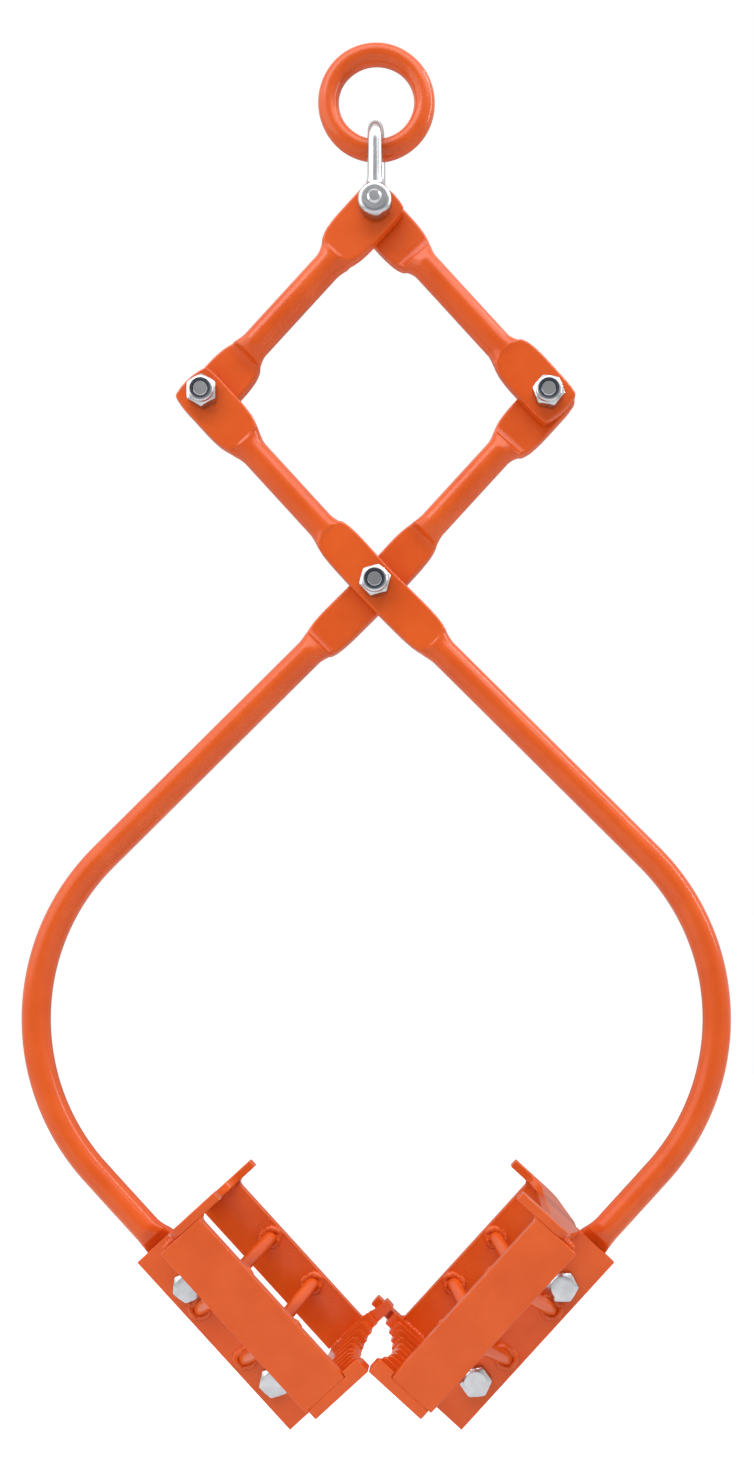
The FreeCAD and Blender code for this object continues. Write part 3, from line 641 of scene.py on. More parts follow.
def nut_profile(sizes, height, collar):
    """Nut as a closed outline: bevelled hexagon, then either a plain bevelled top or a round collar whose
    rim is rolled in over a locking ring."""
    half, bore = sizes.across / 2, sizes.thread / 2 + BORE_ROOM
    corner = past_corner(half)
    bevel = (corner - 0.93 * half) * BEVEL_SLOPE
    rows = [(0.0, bore + 0.5 * MM), (0.0, 0.93 * half)] + chamfer(0.03 * MM, bevel, 0.94 * half, corner)
    if not collar:
        rows += chamfer(height - bevel, height - 0.03 * MM, corner, 0.94 * half)
        return rows + [(height, 0.92 * half), (height, bore + 0.7 * MM), (height - 0.7 * MM, bore),
                       (0.5 * MM, bore)]
    seat = height - sizes.insert_depth
    wall, rim = sizes.insert / 2 + BORE_ROOM, sizes.insert_shown / 2
    shoulder = seat + 0.5 * MM
    rows += chamfer(shoulder - bevel, shoulder - 0.05 * MM, corner, 0.94 * half)
    turns = np.linspace(0, math.pi / 2, 6)
    rows += [(shoulder, 0.925 * half), (shoulder + 0.15 * MM, 0.915 * half)]
    crown = 0.91 * half - rim
    rows += list(zip(height - 0.9 * MM + 0.9 * MM * np.sin(turns), rim + crown * np.cos(turns)))
    return rows + [(height - 0.3 * MM, rim), (height - 0.6 * MM, wall), (seat, wall), (seat, bore),
                   (0.5 * MM, bore)]


def insert_profile(sizes, height):
    """Locking ring as a closed outline, from its seat in the nut to a top that closes on the bolt's end."""
    rim, bore = sizes.insert / 2, sizes.thread / 2 + BORE_ROOM
    neck, shown = sizes.bolt_end / 2 + 0.1 * MM, sizes.insert_shown / 2 - 0.05 * MM
    start, top = height - sizes.insert_depth, height - 0.3 * MM
    return [(start, rim), (height - 0.75 * MM, rim), (height - 0.55 * MM, shown), (top, shown - 0.2 * MM),
            (top, neck + 0.2 * MM), (top - 0.2 * MM, neck), (height - 1.9 * MM, neck),
            (height - 2.1 * MM, bore), (start, bore)]


class TONGS_OT_fasteners(bpy.types.Operator):
    """Make the pivot bolts with their lock nuts, and the jaw bolts with their nuts"""
    bl_idname = "tongs.fasteners"
    bl_label = "Bolts and nuts"

    def execute(self, context):
        sizes = context.scene.tongs_fasteners
        for name, lean in (("left_pivot", 30.0), ("right_pivot", -9.0), ("centre_pivot", 15.0)):
            self.add_set(sizes, name + "_bolt", name + "_nut", 1.0, math.radians(lean), name + "_insert")
        for side, sign in SIDES.items():
            for level, lean in (("upper", 47.6), ("lower", 54.0)):
                self.add_set(sizes, f"{side}_{level}_jaw_bolt", f"{side}_{level}_jaw_nut", -1.0,
                             sign * math.radians(lean))
        return {"FINISHED"}

    def add_set(self, sizes, bolt, nut, head_way, corner, insert=None):
        """Bolt, nut and locking ring of one joint; the head's way is along Y. A bolt in a lock nut ends just
        under the nut's top."""
        low, high = (np.array(found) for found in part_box(nut))
        axis = (low + high) / 2
        height = high[1] - low[1]
        seat = axis.copy()
        seat[1] = high[1] if head_way > 0 else low[1]
        add_turned(nut + "_hexagon", nut_profile(sizes, height, bool(insert)), True, corner, seat, -head_way,
                   "Zinc plate", nut)
        if insert:
            add_turned(insert + "_ring", insert_profile(sizes, height), True, corner, seat, -head_way,
                       "Dark nylon", insert)
        nut_top = low[1] + 0.2 * MM
        low, high = (np.array(found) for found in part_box(bolt))
        if insert:
            low[1] = max(low[1], nut_top)
        under = axis.copy()
        under[1] = high[1] - sizes.head if head_way > 0 else low[1] + sizes.head
        profile = bolt_profile(sizes, sizes.head, high[1] - low[1] - sizes.head)
        add_turned(bolt + "_hexagon", profile, False, corner + 0.2, under, head_way, "Zinc plate", bolt)


class TONGS_OT_shackle(bpy.types.Operator):
    """Make the shackle: a forged bow that runs into two rounded eyes, and its pin"""
    bl_idname = "tongs.shackle"
    bl_label = "Shackle"

    def execute(self, context):
        sizes = context.scene.tongs_fasteners
        high = np.array(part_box("shackle_bow")[1])
        bend = high[1] - sizes.eye_depth / 2
        top = high[2] - sizes.bow_wire / 2 - bend
        self.add_bow(sizes, bend, top)
        self.add_pin(sizes, high[1])
        return {"FINISHED"}

    def add_bow(self, sizes, bend, top):
        """Tube along a U whose wire swells towards the eyes, joined to two rounded discs, then remeshed as
        one."""
        turn = np.linspace(0, math.pi, 60)
        leg = np.linspace(PIN[2], top, 24, endpoint=False)
        path = np.vstack([np.stack([0 * leg + bend, leg], -1),
                          np.stack([bend * np.cos(turn), top + bend * np.sin(turn)], -1),
                          np.stack([0 * leg - bend, leg[::-1]], -1)])
        ahead = np.gradient(path, axis=0)
        ahead /= np.linalg.norm(ahead, axis=1, keepdims=True)
        out = np.stack([ahead[:, 1], -ahead[:, 0]], -1)
        around = np.linspace(0, 2 * math.pi, 40, endpoint=False)
        above = path[:, 1] - PIN[2]
        swell = 1 + BOW_SWELL * (1 - ease((above - 6 * MM) / (9 * MM)))
        radius = sizes.bow_wire / 2
        wide = radius * swell[:, None] * np.cos(around)
        deep = radius * np.sin(around)
        points = np.stack([wide, path[:, :1] + out[:, :1] * deep, path[:, 1:] + out[:, 1:] * deep], -1)
        rows, columns = wide.shape
        faces = [np.vstack([grid_faces(rows, columns), end_faces(np.arange(columns)),
                            end_faces((rows - 1) * columns + np.arange(columns))])]
        pieces = [points.reshape(-1, 3)]
        turns = np.linspace(0, math.pi / 2, 8)
        half = sizes.eye_depth / 2
        cap = np.stack([half - EYE_EDGE + EYE_EDGE * np.sin(turns),
                        sizes.eye / 2 - EYE_EDGE + EYE_EDGE * np.cos(turns)], -1)
        profile = np.vstack([[(-half, 0.0)], (cap * [-1, 1])[::-1], cap, [(half, 0.0)]])
        for place in (-bend, bend):
            first = sum(len(found) for found in pieces)
            grid = turned(profile, 1.0, 0.0, PIN + [0, place, 0], 1.0)
            pieces.append(grid.reshape(-1, 3))
            faces.append(grid_faces(len(profile), HEX_STEPS, first=first))
        mesh = bpy.data.meshes.new("shackle_bow_rough")
        mesh.from_pydata(np.vstack(pieces), [], [list(face) for face in np.vstack(faces)])
        finish_mesh(mesh)
        rough = bpy.data.objects.new("shackle_bow_rough", mesh)
        bpy.context.scene.collection.objects.link(rough)
        remesh = rough.modifiers.new("Fuse", "REMESH")
        remesh.mode, remesh.voxel_size = "VOXEL", FUSE_GRAIN
        smooth = rough.modifiers.new("Soften", "SMOOTH")
        smooth.factor, smooth.iterations = 0.5, 12
        graph = bpy.context.evaluated_depsgraph_get()
        fused = bpy.data.meshes.new_from_object(rough.evaluated_get(graph))
        bpy.data.objects.remove(rough)
        finish_mesh(fused)
        place_piece("shackle_forged_bow", fused, finish("Zinc plate"), "shackle", ["shackle_bow"])

    def add_pin(self, sizes, reach):
        """Pin with a bevelled end in front, and behind it a collar and a flat eye with a hole."""
        low, high = (np.array(found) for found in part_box("shackle_pin"))
        radius = sizes.pin / 2
        start, collar = low[1], reach + 0.15 * MM
        face = collar + 3 * MM
        rows = [(start, 0.0), (start, 0.72 * radius), (start + 0.9 * MM, radius), (collar - 0.3 * MM, radius)]
        wide = 6 * MM
        rows += [(collar, radius + 0.3 * MM), (collar, wide - 0.5 * MM), (collar + 0.5 * MM, wide),
                 (collar + 2.4 * MM, wide), (face, wide - 0.7 * MM), (face, 0.0)]
        points = turned(rows, 1.0, 0.0, PIN * [1, 0, 1], 1.0)
        add_piece("shackle_pin_shaft", points, grid_faces(len(rows), HEX_STEPS), finish("Zinc plate"),
                  "shackle", ["shackle_pin"], sharp=METAL_SHARP)
        self.add_tab(face, high[1])

    def add_tab(self, start, end):
        """Flat eye on the pin's head: a closed strip round a hole, with its outline a half round on a
        square."""
        turn = np.linspace(0, 2 * math.pi, 96, endpoint=False)
        wide, hole, thick, edge = 6.5 * MM, 2 * MM, 2.25 * MM, 0.6 * MM
        middle = end - wide
        along, upward = np.cos(turn), np.sin(turn)
        reach = np.minimum(wide / np.maximum(np.abs(upward), 1e-6),
                           (middle - start + 0.4 * MM) / np.maximum(-along, 1e-6))
        reach = np.where(along >= 0, wide, np.minimum(reach, math.hypot(wide, middle - start)))
        rows = [(-thick, 0.0, 1), (-thick, edge, 0), (-thick + edge, 0.0, 0), (thick - edge, 0.0, 0),
                (thick, edge, 0), (thick, 0.0, 1)]
        grid = []
        for side, inset, inner in rows:
            far = np.full_like(turn, hole) if inner else reach - inset
            grid.append(np.stack([np.full_like(turn, side), middle + far * along, PIN[2] + far * upward], -1))
        faces = grid_faces(len(rows), len(turn), close_rows=True)
        add_piece("shackle_pin_eye", np.array(grid), faces, finish("Zinc plate"), "shackle",
                  sharp=METAL_SHARP)


class TongsJawSizes(bpy.types.PropertyGroup):
    """Sizes of the jaws' plates, lips and welds."""
    edge: length("Plate edge", 0.7, "Rounding along a plate's edges")
    half_depth: length("Half depth", 62, "From a jaw's middle plane to its front and rear")
    side_bar: length("Side bar", 6, "Thickness of a side bar, along the depth")
    side_edge: length("Side bar edge", 43, "From a jaw's axis in to its side bars' inner edges")
    plate: length("Top plate", 5, "Thickness of the forked top plate")
    lip_top: length("Lip", 116, "From the top of a jaw down to its lip")
    lip: length("Lip thickness", 6, "Thickness of a toothed lip")
    lip_base: length("Lip base", 12.7, "From a jaw's axis in to the base of its lip")
    lip_slant: length("Lip slant", 4, "Rise of a lip's back from its middle to its ends")
    base_half: length("Lip base half width", 15, "Half the straight base of a lip")
    tip_gap: length("Tip gap", 0.33, "From a lip's tip to the middle plane")
    tip_close: length("Tip close", 0.28, "How far the foremost tooth stands past the lip's tip")
    prong: length("Prong", 8, "Width of a lip's prong")
    prong_cross: length("Prong crossing", 7, "How far a rear prong passes the middle plane")
    prong_inset: length("Prong inset", 8.6, "Left rear prong, in front of the right one")
    hollow: length("Hollow", 11, "Depth of a lip's hollow edge")
    hollow_radius: length("Hollow radius", 138, "Radius of a lip's hollow edge")
    tooth: length("Tooth", 3.2, "Height of a tooth above its lip")
    tooth_run: length("Tooth length", 26, "From a tooth's back to the lip's front tip")
    tooth_rear: length("Toothed rear", 53, "From a jaw's middle plane back to the first tooth")
    teeth: bpy.props.IntProperty(name="Teeth", description="Teeth on each lip", default=10, min=1)
    middle_bar: length("Middle bar", 6, "Thickness of the middle bar, along the depth")
    brace: length("Brace", 8, "Thickness of a round brace")
    upper_brace: length("Upper brace", 41, "From the top of a jaw down to its upper braces")
    lower_brace: length("Lower brace", 79, "From the top of a jaw down to its lower braces")
    brace_head: length("Brace head", 35, "From a jaw's axis in to a brace's end on its side bar")
    brace_foot: bpy.props.FloatProperty(
        name="Brace foot", description="From a jaw's axis in to a front brace's end on the middle bar",
        default=-5.8 * MM, subtype="DISTANCE", unit="LENGTH")
    fillet: length("Fillet", 3.2, "Hollow round between a side bar and a prong of the top plate")
    bead: length("Weld bead", 1.9, "Half the width of a weld bead")
    ripple: length("Weld ripple", 2.3, "From one ripple of a weld to the next")


JAW_PLATES = ("middle_bar", "front_bar", "rear_bar", "top_plate")
JAW_BRACES = ("front_upper_brace", "front_lower_brace", "rear_upper_brace", "rear_lower_brace")
LIP_SHARP = math.radians(30)
PLATE_SHARP = math.radians(32)
BRACE_SHARP = math.radians(40)
BEAD_SHARP = math.radians(60)
# Room between a tooth and a side bar, how far along a rounded edge its middle lies, how crisp a lip's lower
# edge is beside its others, and a tooth's height and slope at its worn tip.
BAR_ROOM = 0.3 * MM
ROUND_MIDDLE = 0.29
CRISP = 0.3
TOOTH_LEFT = 0.86
TOOTH_WORN = 1.2


def jaw_frame(bars, sign):
    """Origin of a jaw at the top of its tail, and its directions: down along the jaw, in towards the gap and
    to the front. The origin follows the arm from the centre pivot down the leg, round the bend and along the
    tail."""
    leg, jaw = bars.leg_angle, bars.jaw_angle
    out = (bars.leg_run * math.sin(leg) + bars.bend * (math.cos(jaw) - math.cos(leg))
           - bars.tail_run * math.sin(jaw))
    drop = (bars.leg_run * math.cos(leg) + bars.bend * (math.sin(jaw) + math.sin(leg))
            + bars.tail_run * math.cos(jaw))
    origin = CENTRE + [sign * out, 0.0, -drop]
    down = [-sign * math.sin(jaw), 0.0, -math.cos(jaw)]
    inward = [-sign * math.cos(jaw), 0.0, math.sin(jaw)]
    return origin, np.array([down, inward, FRONT])


class TONGS_OT_jaw_lips(bpy.types.Operator):
    """Make the toothed lips: a stepped, hollow edge between two prongs, under a row of sawteeth"""
    bl_idname = "tongs.jaw_lips"
    bl_label = "Jaw lips"

    def execute(self, context):
        sizes, bars = context.scene.tongs_jaws, context.scene.tongs_bars
        for side, sign in SIDES.items():
            origin, axes = jaw_frame(bars, sign)
            under = sizes.lip_top + sizes.lip
            sine, cosine = math.sin(bars.jaw_angle), math.cos(bars.jaw_angle)
            tip = (abs(origin[0]) - under * sine - sizes.tip_gap) / cosine
            reach = tip + (sizes.prong_cross + sizes.tip_gap) / cosine
            rear = -sizes.half_depth + (sizes.prong_inset if side == "left" else 0.0)
            rows = self.lip_rows(sizes, rear)
            section = self.lip_sections(sizes, rows, tip, reach, rear)
            points = origin + section @ axes
            count, columns = section.shape[:2]
            ring = np.arange(columns)
            faces = [*grid_faces(count, columns), ring, (count - 1) * columns + ring]
            add_piece(side + "_sawtooth_lip", points, faces, finish("Welded enamel"), JAW_BODY[side],
                      [side + "_toothed_lip"], sharp=LIP_SHARP)
        return {"FINISHED"}

    def lip_rows(self, sizes, rear):
        """Places of the sections along the depth: an even spread, the start of each tooth, both sides of the
        rear prong and the rounded ends."""
        half, near = sizes.half_depth, 0.02 * MM
        starts = np.linspace(-sizes.tooth_rear, half, sizes.teeth + 1)
        steps = np.concatenate([starts - 0.35 * MM, starts - near, starts + near])
        prong = np.array([rear - near, rear + near, rear + sizes.prong - near, rear + sizes.prong + near])
        bar = half - sizes.side_bar - BAR_ROOM + np.array([-near, near])
        ends = sizes.edge * np.array([0.0, ROUND_MIDDLE, 1.0])
        rows = np.concatenate([np.linspace(-half + sizes.edge, half - sizes.edge, 80), steps, prong, bar,
                               half - ends, ends - half])
        rows = np.unique(np.round(rows, 7))
        return rows[np.abs(rows) <= half + near / 2]

    def lip_sections(self, sizes, z, tip, reach, rear):
        """Section at each place along the depth: the lip's rounded oblong from its slanted back to its edge,
        raised over the tooth run by a sawtooth that climbs to the front and drops. Each tooth ends square, on
        the hollow's arc at its own middle, the foremost just past the tip, and the rear prong passes on to
        its reach."""
        half, edge = sizes.half_depth, sizes.edge
        z = np.clip(z, -half, half)
        inset = np.maximum(edge - (half - np.abs(z)), 0.0)
        inset = edge - np.sqrt(np.maximum(edge ** 2 - inset ** 2, 0.0))
        slant = np.maximum(np.abs(z) - sizes.base_half, 0.0) / (half - sizes.base_half)
        back = sizes.lip_base + sizes.lip_slant * slant + inset
        pitch = (half + sizes.tooth_rear) / sizes.teeth
        count = np.clip(np.floor((z + sizes.tooth_rear) / pitch), -1, sizes.teeth - 1)
        middle = np.where(count < 0, z, (count + 0.5) * pitch - sizes.tooth_rear)
        arc = np.sqrt(np.maximum(sizes.hollow_radius ** 2 - middle ** 2, 0.0))
        front = np.minimum(tip - sizes.hollow + sizes.hollow_radius - arc, tip)
        front = np.where(count == sizes.teeth - 1, tip + sizes.tip_close, front)
        on_prong = (z >= rear) & (z <= rear + sizes.prong)
        front = np.where(on_prong, reach, np.where(z < rear, sizes.side_edge, front)) - inset
        within = np.clip(z + sizes.tooth_rear - count * pitch, 0.0, pitch)
        rise = np.minimum(sizes.tooth * within / pitch,
                          TOOTH_LEFT * sizes.tooth + TOOTH_WORN * (pitch - within))
        rise = np.where(count < 0, 0.0, rise)
        top, under = sizes.lip_top + inset, sizes.lip_top + sizes.lip - inset
        beside_bar = z > half - sizes.side_bar - BAR_ROOM
        tooth_back = np.where(beside_bar, sizes.side_edge + BAR_ROOM, tip - sizes.tooth_run)
        tooth_end = np.minimum(front, tip) - edge - 0.6 * MM
        shares = np.linspace(0.08, 1.0, 7)
        tooth_run = tooth_back[:, None] + (tooth_end - tooth_back)[:, None] * shares
        after = np.where(on_prong, 0.0, rise)
        last = np.where(on_prong, np.minimum(front, tip), front - edge - 0.3 * MM)
        bend, crisp = ROUND_MIDDLE * edge, CRISP * edge
        crisp_bend = ROUND_MIDDLE * crisp
        columns = [(top + edge, back), (top + bend, back + bend), (top, back + edge), (top, tooth_back)]
        columns += [(top - rise, tooth_run[:, step]) for step in range(tooth_run.shape[1])]
        columns += [(top - after, last), (top - after, front - edge), (top - after + bend, front - bend),
                    (top - after + edge, front), (under - crisp, front),
                    (under - crisp_bend, front - crisp_bend), (under, front - crisp), (under, back + edge),
                    (under - bend, back + bend), (under - edge, back)]
        down, inward = (np.stack([column[axis] for column in columns], -1) for axis in (0, 1))
        return np.stack([down, inward, np.broadcast_to(z[:, None], down.shape)], -1)


def merged_copy(node):
    """Copy of a CAD node's mesh with its loose triangles merged and its flat faces made whole."""
    mesh = frame["nodes"][node].data.copy()
    edit = bmesh.new()
    edit.from_mesh(mesh)
    bmesh.ops.remove_doubles(edit, verts=edit.verts, dist=MM / 100)
    bmesh.ops.dissolve_limit(edit, angle_limit=math.radians(1), verts=edit.verts, edges=edit.edges)
    bmesh.ops.recalc_face_normals(edit, faces=edit.faces)
    edit.to_mesh(mesh)
    edit.free()
    mesh.shade_smooth()
    return mesh


class TONGS_OT_jaw_plates(bpy.types.Operator):
    """Make the jaws' bars and forked plates, with their edges rounded by the paint"""
    bl_idname = "tongs.jaw_plates"
    bl_label = "Jaw plates"

    def execute(self, context):
        edge = context.scene.tongs_jaws.edge
        for side in SIDES:
            for plate in JAW_PLATES:
                node = f"{side}_{plate}"
                mesh = merged_copy(node)
                made = place_piece(node + "_painted", mesh, finish("Welded enamel"), JAW_BODY[side],
                                   [node])
                bevel = made.modifiers.new("Painted edges", "BEVEL")
                bevel.width, bevel.segments, bevel.limit_method = edge, 3, "ANGLE"
                bevel.angle_limit = PLATE_SHARP
                mesh.set_sharp_from_angle(angle=PLATE_SHARP)
        return {"FINISHED"}


class TONGS_OT_jaw_braces(bpy.types.Operator):
    """Make the jaws' round braces"""
    bl_idname = "tongs.jaw_braces"
    bl_label = "Jaw braces"

    def execute(self, context):
        for side in SIDES:
            for brace in JAW_BRACES:
                node = f"{side}_{brace}"
                mesh = merged_copy(node)
                mesh.set_sharp_from_angle(angle=BRACE_SHARP)
                place_piece(node + "_painted", mesh, finish("Welded enamel"), JAW_BODY[side], [node])
        return {"FINISHED"}


# Sides of a bead's tube, steps along it, the thin bead in the outer seams and how far a bead passes a corner.
BEAD_SIDES = 14
BEAD_STEP = 0.32 * MM
SEAM_BEAD = 0.62 * MM
BEAD_PAST = 1.5 * MM
DOWN, INWARD, DEPTH = np.eye(3)


def bead_grid(path, axis, radius, ripple, closed):
    """Weld bead along a path: a tube whose radius swells in ripples that lean along the path and in slower
    lumps. A closed bead is lumpier and heavier on one side, and an open one narrows to nothing at both ends.
    The axis sets how the tube is turned."""
    ahead = np.roll(path, -1, 0) - np.roll(path, 1, 0) if closed else np.gradient(path, axis=0)
    ahead /= np.linalg.norm(ahead, axis=1, keepdims=True)
    across = axis - (ahead @ axis)[:, None] * ahead
    across /= np.linalg.norm(across, axis=1, keepdims=True)
    above = np.cross(ahead, across)
    run = np.linalg.norm(np.diff(path, axis=0, append=path[:1] if closed else path[-1:]), axis=1)
    along = (np.cumsum(run) - run)[:, None] / run.sum()
    waves = max(round(run.sum() / ripple), 3)
    around = np.linspace(0, 2 * math.pi, BEAD_SIDES, endpoint=False)
    turn = 2 * math.pi * along
    fine, slow = (0.05, 1.9) if closed else (0.13, 1.0)
    swell = 1 + fine * np.sin(waves * turn + 1.1 * np.cos(around))
    lumps = 0.10 * np.sin(3 * turn + 1.0 + around) + 0.07 * np.sin(5 * turn - 0.6 + 2 * around)
    swell = swell + slow * lumps
    if closed:
        swell = swell + 0.2 * np.sin(turn - 1.0)
    else:
        swell = swell * np.sqrt(np.maximum(1 - np.abs(2 * along - 1) ** 9, 0.0))
    reach = radius * swell
    return (path[:, None] + (reach * np.cos(around))[..., None] * across[:, None]
            + (reach * np.sin(around))[..., None] * above[:, None])


def straight_path(start, end):
    """Points along a straight line, a bead step apart."""
    start, end = np.array(start), np.array(end)
    count = max(int(np.linalg.norm(end - start) / BEAD_STEP), 12)
    return start + (end - start) * np.linspace(0, 1, count)[:, None]


def ring_path(centre, first, second):
    """Points round an ellipse, from its centre and its two half axes."""
    size = np.linalg.norm(first) + np.linalg.norm(second)
    turn = np.linspace(0, 2 * math.pi, int(math.pi * size / BEAD_STEP), endpoint=False)[:, None]
    return np.array(centre) + np.cos(turn) * np.array(first) + np.sin(turn) * np.array(second)


class TONGS_OT_welds(bpy.types.Operator):
    """Make the jaws' welds: rings round the braces, beads in the corners, hollow fillets and spatter"""
    bl_idname = "tongs.welds"
    bl_label = "Welds"

    def execute(self, context):
        sizes, bars = context.scene.tongs_jaws, context.scene.tongs_bars
        for side, sign in SIDES.items():
            origin, axes = jaw_frame(bars, sign)
            points, faces = [], []
            for grid, closed in [*self.rings(sizes), *self.corners(sizes)]:
                first = sum(len(found) for found in points)
                points.append(grid.reshape(-1, 3))
                faces += list(grid_faces(*grid.shape[:2], close_rows=closed, first=first))
            for grid in self.fillets(sizes):
                first = sum(len(found) for found in points)
                points.append(grid.reshape(-1, 3))
                columns = grid.shape[1]
                ring = first + np.arange(columns)
                faces += [*grid_faces(2, columns, first=first), ring, ring + columns]
            add_piece(side + "_weld_beads", origin + np.vstack(points) @ axes, faces, finish("Orange enamel"),
                      JAW_BODY[side], sharp=BEAD_SHARP)
            balls, ball_faces = self.spatter(sizes)
            add_piece(side + "_weld_spatter", origin + balls @ axes, ball_faces, finish("Orange enamel"),
                      JAW_BODY[side])
        return {"FINISHED"}

    def rings(self, sizes):
        """Rings round the braces, where they meet the side bars and the middle bar."""
        half = sizes.brace / 2 + 0.5 * sizes.bead
        inner = sizes.half_depth - sizes.side_bar
        slope = (sizes.brace_head - sizes.brace_foot) / (inner - sizes.middle_bar)
        front = half * math.hypot(1.0, slope)
        rear_slope = (sizes.brace_head - sizes.lip_base) / (inner + sizes.middle_bar / 2)
        rear = half * math.hypot(1.0, rear_slope)
        for x in (sizes.upper_brace, sizes.lower_brace):
            for centre, long in (((x, sizes.brace_head, inner), front), ((x, sizes.brace_head, -inner), rear),
                                 ((x, sizes.brace_foot, sizes.middle_bar), front)):
                path = ring_path(centre, (half, 0.0, 0.0), (0.0, long, 0.0))
                yield bead_grid(path, DEPTH, sizes.bead, sizes.ripple, True), True
            foot = (x, sizes.lip_base + 0.5 * sizes.bead, 0.0)
            path = ring_path(foot, (half, 0.0, 0.0), (0.0, 0.0, 1.1 * half))
            yield bead_grid(path, INWARD, 0.8 * sizes.bead, sizes.ripple, True), True

    def corners(self, sizes):
        """Beads in the corners: side bars to plate and lip, and plate and lip to the middle bar."""
        sunk = 0.35 * sizes.bead
        inner = sizes.half_depth - sizes.side_bar + sunk
        under, over = sizes.plate / 2 - sunk, sizes.lip_top + sunk
        low, high = sizes.lip_base + 4 * MM, sizes.side_edge - MM
        edge = sizes.side_edge - sunk
        for z in (inner, -inner):
            for x in (under, over):
                yield self.bead(sizes, (x, low, z), (x, high, z), DOWN)
            end = math.copysign(sizes.half_depth - BEAD_PAST, z)
            yield self.bead(sizes, (over, edge, z), (over, edge, end), DOWN)
        for z in (sizes.half_depth - 0.85 * MM, 0.85 * MM - sizes.half_depth):
            path = straight_path((sizes.lip_top, low + BEAD_PAST, z),
                                 (sizes.lip_top, sizes.side_edge - 0.4 * MM, z))
            yield bead_grid(path, DOWN, SEAM_BEAD, sizes.ripple, False), False
        seam = sizes.lip_base
        for x in (under, over):
            yield self.bead(sizes, (x, seam, -BEAD_PAST), (x, seam, sizes.middle_bar + BEAD_PAST), INWARD)
        for z in (-sunk / 2, sizes.middle_bar + sunk / 2):
            yield self.bead(sizes, (-BEAD_PAST, seam, z), (3.5 * MM, seam, z), INWARD)
            yield self.bead(sizes, (over - 2 * MM, seam, z), (over + sizes.lip - 2 * MM, seam, z), INWARD)

    def bead(self, sizes, start, end, axis):
        """Open bead on a straight line."""
        return bead_grid(straight_path(start, end), axis, sizes.bead, sizes.ripple, False), False

    def fillets(self, sizes):
        """Hollow quarter rounds where a side bar's inner edge runs into a prong of the top plate."""
        radius, sink = sizes.fillet, 0.3 * MM
        turn = np.linspace(0, math.pi / 2, 12)
        down = np.concatenate([[-sink], radius * (1 - np.sin(turn)), [-sink]]) + sizes.plate / 2
        inward = np.concatenate([[-sink], radius * (1 - np.cos(turn)), [radius]]) + sizes.side_edge
        down[1], inward[-2] = sizes.plate / 2 + radius, sizes.side_edge + radius
        inward[1] = sizes.side_edge - sink
        for near in (1.0, -1.0):
            ends = near * (sizes.half_depth - np.array([sizes.side_bar - 0.5 * MM, 0.4 * MM]))
            yield np.stack([np.stack([down, inward, np.full_like(down, z)], -1) for z in ends])

    def spatter(self, sizes):
        """Small balls round each brace's head, on a sunflower's spiral of golden turns."""
        count, rows, columns = 22, 6, 9
        step = np.arange(count)
        turn = step * math.pi * (3 - math.sqrt(5))
        reach = 7.5 * MM + 9 * MM * np.mod(step * 0.618, 1.0) ** 1.5
        size = (0.28 + 0.34 * np.mod(step * 0.377, 1.0)) * MM
        inner = sizes.half_depth - sizes.side_bar
        heads = np.array([(x, sizes.brace_head, z) for x in (sizes.upper_brace, sizes.lower_brace)
                          for z in (inner, -inner)])
        spread = np.stack([reach * np.cos(turn), 0.75 * reach * np.sin(turn), 0 * reach], -1)
        centres = (heads[:, None] + spread).reshape(-1, 3)
        centres[:, 1] = np.minimum(centres[:, 1], sizes.side_edge - MM)
        lift = np.linspace(0, math.pi, rows)[:, None]
        around = np.linspace(0, 2 * math.pi, columns, endpoint=False)
        ball = np.stack([np.sin(lift) * np.cos(around), np.sin(lift) * np.sin(around),
                         np.cos(lift) + 0 * around], -1)
        balls = centres[:, None, None] + np.tile(size, len(heads))[:, None, None, None] * ball
        one = grid_faces(rows, columns)
        faces = one + rows * columns * np.arange(len(centres))[:, None, None]
        return balls.reshape(-1, 3), faces.reshape(-1, 4)


class TONGS_OT_finishes(bpy.types.Operator):
    """Make the shared noise group and the finishes: enamel, zinc plate and nylon"""
    bl_idname = "tongs.finishes"
    bl_label = "Finishes"

    def execute(self, context):
        looks = context.scene.tongs_looks
        noise_group()
        paint_material(looks, "Orange enamel")
        paint_material(looks, "Welded enamel", spatter=0.5)
        zinc_material(looks)
        nylon_material(looks)
        return {"FINISHED"}


class TongsStageSizes(bpy.types.PropertyGroup):
    """Camera and studio."""
    camera: bpy.props.FloatVectorProperty(name="Camera", description="Where the camera stands", size=3,
                                          default=(0.055, -0.780, -0.490), subtype="TRANSLATION",
                                          unit="LENGTH")
    lens: bpy.props.FloatProperty(name="Lens", description="Focal length in millimetres", default=33.36,
                                  unit="CAMERA")
    shift: bpy.props.FloatVectorProperty(name="Shift", description="Lens shift to the right and up", size=2,
                                         default=(-0.065, 0.152))
    drop: length("Drop", 300, "From the lowest tip of the jaws down to the floor")
    ambient: share("Ambient", 0.36, "White light from all round")
    room: share("Room", 0.35, "Brightness of the room in front and behind, as the finishes mirror it")


# The floor's half width, its glow near the tongs and what that gains far from them, as the camera sees it,
# and the share of it that the finishes mirror.
FLOOR_HALF = 6.0
FLOOR_GLOW = 0.42
FAR_GLOW = 0.3
MIRRORED_FLOOR = 0.3
